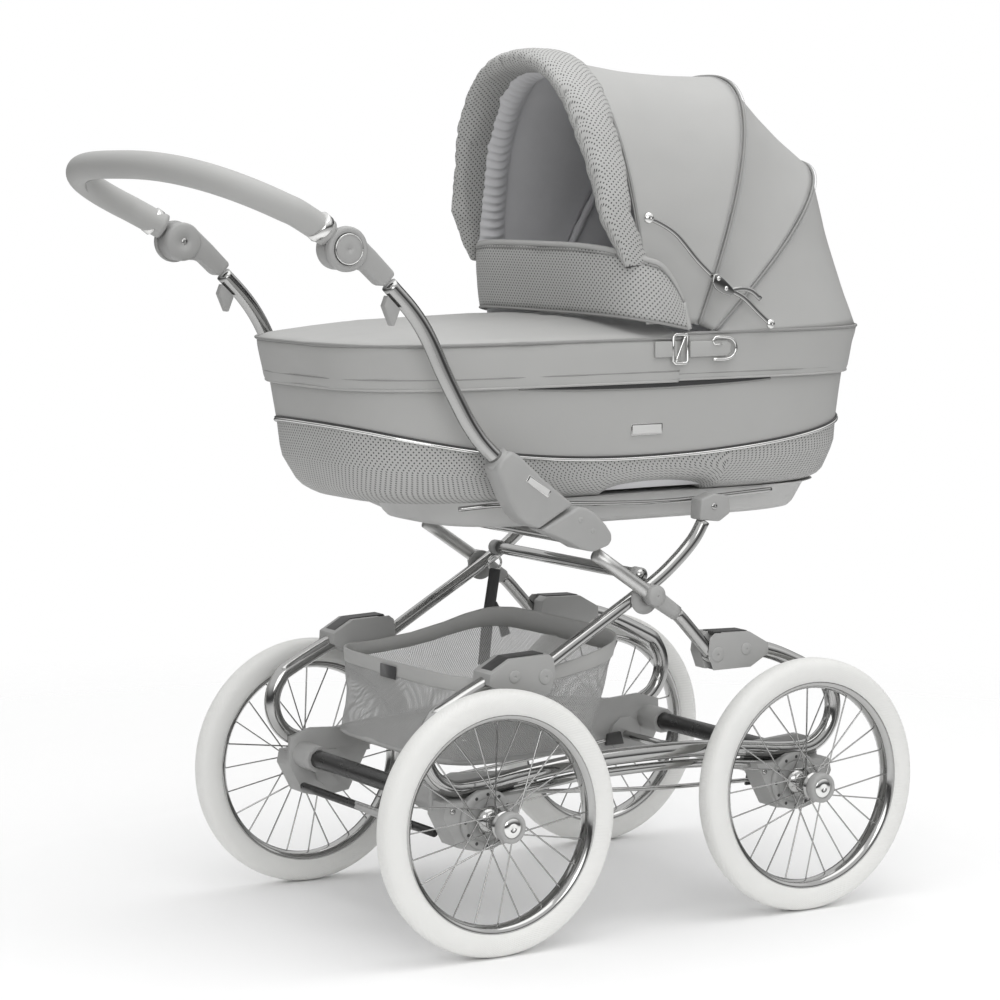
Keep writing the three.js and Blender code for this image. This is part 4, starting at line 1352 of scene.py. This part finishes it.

# %% [markdown]
# ## Hood
# The hood stands on three arches. Each is a rounded bow that leans by its own angle about one hinge. Cloth is
# stretched from arch to arch, so it runs straight between them and dips a little inward.

# %% Arches
ARCH = {
    "front": {"foot": 5, "lean": 86, "rise": 399, "half": 210},
    "middle": {"foot": -95, "lean": 114, "rise": 413, "half": 205},
    "rear": {"foot": -112, "lean": 138.7, "rise": 390, "half": 206},
}
SPAN = np.linspace(0.016, 0.984, 97)
HINGE_Z = 800


def arch_point(name, share, inset=0.0, along=0.0, power=2.4):
    arch = ARCH[name]
    angle, lean = math.pi * share, math.radians(arch["lean"])
    c, s = math.cos(angle), math.sin(angle)
    height = (arch["rise"] - inset) * s ** (2 / power)
    x = (arch["half"] - inset) * signed(c, 2 / power)
    return np.array([x, arch["foot"] + along + height * math.cos(lean), HINGE_Z + height * math.sin(lean)])


def arch_line(name, inset=0.0, along=0.0, span=SPAN):
    """Points evenly spaced along an arch."""
    fine = np.array([arch_point(name, s, inset, along) for s in np.linspace(span[0], span[-1], 700)])
    return evenly(fine, len(span))


def stretched_panel(name, first, last, dip, steps=16):
    rows = []
    for share in np.linspace(0, 1, steps):
        line = first + share * (last - first)
        inward = np.array([0, -100, 830]) - line
        inward /= np.linalg.norm(inward, axis=1)[:, None]
        rows.append(line + inward * dip * math.sin(math.pi * share) ** 0.8)
    panel = away_from(surface(name, rows, [leatherette, lining]), (0, -110, 850))
    return wrinkled(panel, 75, 1.5, len(name))


def lined(panel, thickness=2.4):
    applied(panel, "SOLIDIFY", thickness=thickness * MM, offset=-1, material_offset=1, use_even_offset=True)
    return panel


def bent(panel, first, last, keep=0.2):
    """Bakes a panel's placement into its mesh."""
    a, b = row_frame([first[len(first) // 2]])[0], row_frame([last[len(last) // 2]])[0]
    (a + keep * (b - a)).tolist()
    (b - keep * (b - a)).tolist()
    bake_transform(panel)
    return panel


# %% Panels
front_edge, middle_edge, rear_edge = arch_line("front", along=-26), arch_line("middle"), arch_line("rear")
rim_start = left_share(-128)
rim_shares = np.linspace(1 + rim_start, 2 * REAR - rim_start, len(SPAN))
rim_edge = np.array([cot_point(around, 819, 6.6) for around in rim_shares])
panels = {
    "front": (
        stretched_panel("hood_panel_mouth", middle_edge, front_edge, 7), "middle_bow", "front_bow",
        middle_edge, front_edge
    ),
    "middle": (
        stretched_panel("hood_panel_crown", rear_edge, middle_edge, 6), "rear_bow", "middle_bow",
        rear_edge, middle_edge
    ),
    "rear": (
        stretched_panel("hood_panel_back", rim_edge, rear_edge, 3), "carrycot", "rear_bow", rim_edge,
        rear_edge
    ),
}
for key, (panel, fixed, moving, first, last) in panels.items():
    lined(panel)
    bent(panel, first, last)
    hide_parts("hood_panel_" + key)
    cloth(panel)

# %% Seams and bow sleeves
for key, body in (("middle", "middle_bow"), ("rear", "rear_bow")):
    line = arch_line(key, inset=-1.4)
    seam = tube(f"bow_seam_{key}", line, 1.9, seam_leather, 8, smooth_path=False)
    finished(seam, body)
    rows = [arch_line(key, inset=-0.9, along=d) for d in (-6, 6)]
    finished(stitched(f"bow_stitches_{key}", rows), body)
    gather = np.sin(np.arange(len(SPAN)) * 1.9) * 0.8
    sleeve = surface(
        f"bow_sleeve_{key}", tube_rows(arch_line(key, inset=8.5), 5.6 + gather, 16), lining, loop=True,
        lids=True
    )
    finished(sleeve, body, [f"bow_{key}"])
print("three panels, two bows")

# %% [markdown]
# The roll round the hood's mouth is a stuffed tube of perforated leatherette. Its grid keeps the punched
# holes square, so the cloth simulation runs on the grid itself. A gathered strip of lining closes it on the
# inside.

# %% Padded roll
ROLL_SPAN = np.linspace(0.07, 0.93, 181)
core = arch_line("front", span=ROLL_SPAN)
outward_line = arch_line("front", inset=-10, span=ROLL_SPAN) - core
outward_line /= np.linalg.norm(outward_line, axis=1)[:, None]


def roll_size(z):
    """Half the roll's width, its shift to the rear and half its thickness at a given height."""
    return (np.interp(z, (905, 925, 980, 1100, 1200), sizes)
            for sizes in ((21, 23, 29, 35, 38.5), (-24, -14, 5, 4, 0), (6, 8, 12, 15, 16)))


roll_rows = []
for number, (point, out) in enumerate(zip(core, outward_line)):
    crease = 1 - 0.035 * (math.sin(number * 0.55) ** 8 + math.sin(number * 0.31 + 1) ** 10)
    half, shift, thick = roll_size(point[2])
    row = []
    for a in np.linspace(0, 2 * math.pi, 36, endpoint=False):
        c, s = math.cos(a), math.sin(a)
        wide = half * signed(c, 0.8) * crease
        depth = thick * signed(s, 0.8) * crease - 1 - 0.6 * (16 - thick)
        row.append(point + np.array([0, shift + wide, 0]) + out * depth)
    roll_rows.append(row)
roll = surface("mouth_roll", roll_rows, perforated, loop=True, lids=True)
puffed(roll, 1.6, 4)
finished(wrinkled(roll, 30, 1.0, 5), "front_bow", ["hood_roll"])
seam = tube(
    "roll_seam", arch_line("front", inset=-1.5, along=-28, span=ROLL_SPAN), 2.0, seam_leather, 8,
    smooth_path=False
)
finished(seam, "front_bow")
ruffle_rows = []
for across in np.linspace(0, 1, 8):
    line = arch_line(
        "front", inset=15 + 9 * math.sin(math.pi * across), along=-4 - 46 * across,
        span=np.linspace(0.07, 0.93, 420)
    )
    wave = np.sin(
        np.arange(420) * 0.85 + 0.6 * np.sin(np.arange(420) * 0.13)
    ) * 2.4 * math.sin(math.pi * across)
    centre = np.array([0, -40, 900]) - line
    ruffle_rows.append(line + centre / np.linalg.norm(centre, axis=1)[:, None] * wave[:, None])
ruffle = surface("gathered_lining", ruffle_rows, lining)
away_from(ruffle, (0, -30, 900)).data.flip_normals()
finished(ruffle, "front_bow")
cloth(ruffle)

# %% [markdown]
# The wind flap is a low wall of perforated leatherette, lined inside, that stands up from the apron and
# curves round to both sides. One function gives its points, and its columns are spaced evenly along the
# curve.

# %% Wind flap
FLAP_COLUMNS, FLAP_HALF, FLAP_FOOT_Z, FLAP_TOP_Z = 120, 218, 824, 908


def flap_point(share, height, out=0.0):
    angle = math.pi * share
    c, s = math.cos(angle), math.sin(angle)
    bulge = abs(s) ** 0.5
    x = (FLAP_HALF + out) * signed(c, 0.5) * (1 - 0.02 * height)
    low = FLAP_FOOT_Z + 20 * bulge
    top = FLAP_TOP_Z + 32 * bulge**1.4 - 46 * max(0.0, 1 - bulge / 0.42) ** 2
    return np.array([x, -84 + (110 + out) * bulge + 8 * height, low + height * (top - low)])


crown = [(h, 3.2 * math.sin(math.pi * h) ** 0.6) for h in np.linspace(0.02, 1, 10)]
fine = np.array([flap_point(s, 0.5) for s in np.linspace(0, 1, 900)])
length = lengths_along(fine)
flap_line = np.interp(np.linspace(0, length[-1], FLAP_COLUMNS), length, np.linspace(0, 1, 900))
flap_rows = [[flap_point(s, h, o) for s in flap_line] for h, o in crown]
flap = away_from(surface("wind_flap_cover", flap_rows, [perforated, lining]), (0, -90, 880))
wrinkled(flap, 45, 1.3, 11)
lined(flap, 4)
finished(flap, "wind_flap", ["wind_flap"])
cloth(flap)
trim = merged("flap_piping", [
    tube("top", [flap_point(s, 1.0, -1) for s in flap_line], 4.2, leatherette, 12, flat=0.75),
    # A thin dark line along the crease under the piping: painted shade.
    tube("crease", [flap_point(s, 0.93, 2.2) for s in flap_line], 0.9, seam_leather, 8),
    tube("foot", [flap_point(s, 0.02, 0.5) for s in flap_line], 1.8, seam_leather, 8),
])
finished(trim, "wind_flap")
ends = [
    tube("end", [flap_point(e, h, 0) for h in np.linspace(0.02, 0.98, 9)], 4.0, leatherette, 12)
    for e in (0.0, 1.0)
]
finished(merged("flap_ends", ends), "wind_flap")
print("wind flap", round(length[-1]), "mm long")

# %% [markdown]
# ## Stays, buckles and straps
# The stays are flat, bent irons with a riveted elbow plate. The buckle is a bent wire ring sewn to the apron
# and a hook on the hood's skirt.

# %% Stays
STAY_TOP, ELBOW, STAY_FOOT = (-13, 978), (-127, 894), (-217, 829)
UPPER_STAY_X, LOWER_STAY_X = 220, 224.6
for side, sign in SIDES.items():
    at_x = sign * UPPER_STAY_X
    top = tube(
        "rod", [(at_x, y, z) for y, z in [(-14, 977), (-30, 972), (-60, 955), (-95, 920), (-122, 897)]],
        3.6, chrome, 14, flat=0.6
    )
    knob = dome("knob", (sign * 222, *STAY_TOP), 8, 5, bright_chrome, sign)
    tip = dome("tip", (sign * 222, ELBOW[0], ELBOW[1]), 7, 2, chrome, sign)
    finished(
        merged(f"stay_upper_iron_{side}", [top, knob, tip]), "stay_upper",
        [f"stay_upper_{side}"]
    )
    at_x = sign * LOWER_STAY_X
    low = tube(
        "rod", [(at_x, y, z) for y, z in [(-150, 877), (-172, 866), (-196, 846), (-216, 830)]], 3.8,
        chrome, 14, flat=0.5
    )
    branch = tube(
        "branch", [(at_x, y, z) for y, z in [(-146, 876), (-166, 879), (-184, 876), (-200, 864)]], 3.6,
        chrome, 14, flat=0.5
    )
    hub = plate(
        "hub", [
            (-119, 899), (-117, 889), (-122, 880), (-134, 873), (-148, 869), (-156, 874), (-150, 882),
            (-136, 894), (-126, 901)
        ],
                (222.8, 226.6), chrome, 1.3, sign)
    rivets = [
        dome("rivet", (sign * 226.4, y, z), 3.4, 2, bright_chrome, sign, 14)
        for y, z in (ELBOW, (-140, 880))
    ]
    knob = dome("knob", (sign * 226, *STAY_FOOT), 7, 4, bright_chrome, sign)
    finished(
        merged(f"stay_lower_iron_{side}", [low, branch, hub, *rivets, knob]), "stay_lower",
        [f"stay_lower_{side}"]
    )
print("stays jointed at", ELBOW)

# %% Buckles
BUCKLE_X = 214.5
buckles, tabs = [], []
for sign in SIDES.values():
    x = sign * BUCKLE_X
    ring = [
        (x, y, z)
        for y, z in [
            (-60, 781), (-60, 815), (-63, 818), (-81, 818), (-84, 815), (-84, 781), (-81, 778),
            (-63, 778)
        ]
    ]
    buckles.append(tube("ring", ring, 2.4, bright_chrome, 12, smooth_path=False, closed=True))
    buckles.append(tube("bar", [(x, -64, 780), (x, -80, 816)], 1.8, bright_chrome, 10))
    hook = [
        (x + sign * 1.5, y, z)
        for y, z in [
            (-126, 782), (-150, 782), (-161, 787), (-165, 797), (-161, 807), (-150, 812), (-128, 812),
            (-127, 804), (-140, 803)
        ]
    ]
    buckles.append(tube("hook", hook, 2.2, bright_chrome, 12))
    tabs.append(
        plate(
            "tab", [(-88, 786), (-150, 786), (-157, 791), (-157, 803), (-150, 808), (-88, 808)],
            (211.5, 215.5), leatherette, 1.4, sign
        )
    )
    tabs.append(
        plate(
            "loop", [(-30, 787), (-66, 787), (-66, 809), (-30, 809)], (211.5, 215), leatherette, 1.2,
            sign
        )
    )
finished(merged("buckles", buckles), "carrycot")
finished(merged("buckle_tabs", tabs), "carrycot")
print("buckles on both sides")

# %% [markdown]
# ## Basket
# The basket is a sewn bag of open mesh. Its walls pull in between the corners, the top edge is bound with
# leatherette, and a strap on the left side hangs it from the legs' crossing.


# %% Basket
BASKET_POWER = 0.35


def basket_ring(half, front, rear, front_z, rear_z, dip, out=0.0, count=200):
    row = []
    for angle in np.linspace(0, 2 * math.pi, count, endpoint=False):
        c, s = math.cos(angle), math.sin(angle)
        x = (half + out) * signed(c, BASKET_POWER)
        y = (front + rear) / 2 + ((rear - front) / 2 + out) * signed(s, BASKET_POWER)
        share = min(1, max(0, (y - front) / (rear - front)))
        row.append((x, y, front_z + share * (rear_z - front_z) - dip * math.sin(math.pi * share)))
    return row


LEVELS = [(178, 20, 276, 243, 240, 0), (184, 5, 269, 303, 289, 2), (190, -14, 262, 404, 362, 14)]


def basket_level(share, out=0.0):
    place = share * 2
    low, t = LEVELS[min(1, int(place))], place - min(1, int(place))
    high = LEVELS[min(1, int(place)) + 1]
    return basket_ring(*[a + t * (b - a) for a, b in zip(low, high)], out=out)


mesh_rows = [basket_level(s, -3.5 * math.sin(math.pi * s)) for s in np.linspace(0.06, 0.88, 16)]
walls = away_from(surface("basket_walls", mesh_rows, basket_mesh, loop=True), (0, 130, 310))
wrinkled(walls, 38, 2.6, 2)
finished(walls, "chassis", ["basket"])
cloth(walls)
base_rows = [basket_level(s, o) for s, o in [(0.075, -2), (0.03, 0.2), (0.0, -3)]]
base_rows += [
    [(p[0] * k, 148 + (p[1] - 148) * k, 242 - 3 * (1 - k)) for p in basket_level(0, -3)]
    for k in (0.8, 0.4, 0.03)
]
base = away_from(surface("basket_base", base_rows, leatherette, loop=True), (0, 148, 330))
finished(wrinkled(base, 60, 1.2, 4), "chassis")
bind_rows = [
    basket_level(s, o)
    for s, o in [(0.86, -0.5), (0.87, 0.8), (0.985, 1.2), (1.0, 0), (0.985, -2), (0.86, -2.2)]
]
binding = surface("basket_binding", bind_rows, leatherette, loop=True, loop_rows=True)
finished(wrinkled(binding, 40, 1.0, 6), "chassis")
corners = [(x, 265 + d, z) for d in (0, 1.6) for x, z in [(-12, 338), (30, 338), (30, 356), (-12, 356)]]
sides = [[0, 1, 2, 3], [7, 6, 5, 4], [0, 4, 5, 1], [1, 5, 6, 2], [2, 6, 7, 3], [3, 7, 4, 0]]
label = outward(new_piece("blank_label", corners, sides, webbing))
finished(label, "chassis")

# %% Straps
line = [(192, -22, 452), (188, -14, 420), (183, -4, 380), (178, 4, 340), (176, 8, 312)]
straps = [tube("strap", line, 10, webbing, 12, flat=0.14, up=(1, 0, 0))]
straps.append(
    tube(
        "tab", [(186, -14, 400), (183, -28, 372), (181, -34, 352)], 8, webbing, 12, flat=0.14,
        up=(1, 0, 0)
    )
)
circle = np.linspace(0, 2 * math.pi, 20, endpoint=False)
loop = [(193, -22 + 11 * math.cos(a), 461 + 11 * math.sin(a)) for a in circle]
studs = [tube("ring", loop, 1.8, bright_chrome, 10, smooth_path=False, closed=True)]
studs.append(dome("snap", (187.5, -10, 400), 5, 2, bright_chrome, -1))
finished(merged("basket_straps", straps), "chassis")
finished(merged("strap_rings", studs), "chassis")
print("basket hung")

# %% [markdown]
# ## Floor
# The floor is part of the stage and not of the pram.

# %% Floor and finish
floor_finish = Finish("floor_paper", (0.95, 0.95, 0.95), 0.9)
distance = floor_finish.node(
    "ShaderNodeVectorMath", [floor_finish.place()], output="Value", operation="LENGTH"
)
fade = {"Value": distance, "From Min": 0.8, "From Max": 2.4, "To Min": 1.0, "To Max": 0.0}
floor_finish.feed("Alpha", floor_finish.node("ShaderNodeMapRange", fade, output="Result"))
floor = surface(
    "floor", [[(-9000, -9000, 0), (9000, -9000, 0)], [(-9000, 9000, 0), (9000, 9000, 0)]],
    floor_finish.material
)
if floor.data.polygons[0].normal.z < 0:
    floor.data.flip_normals()
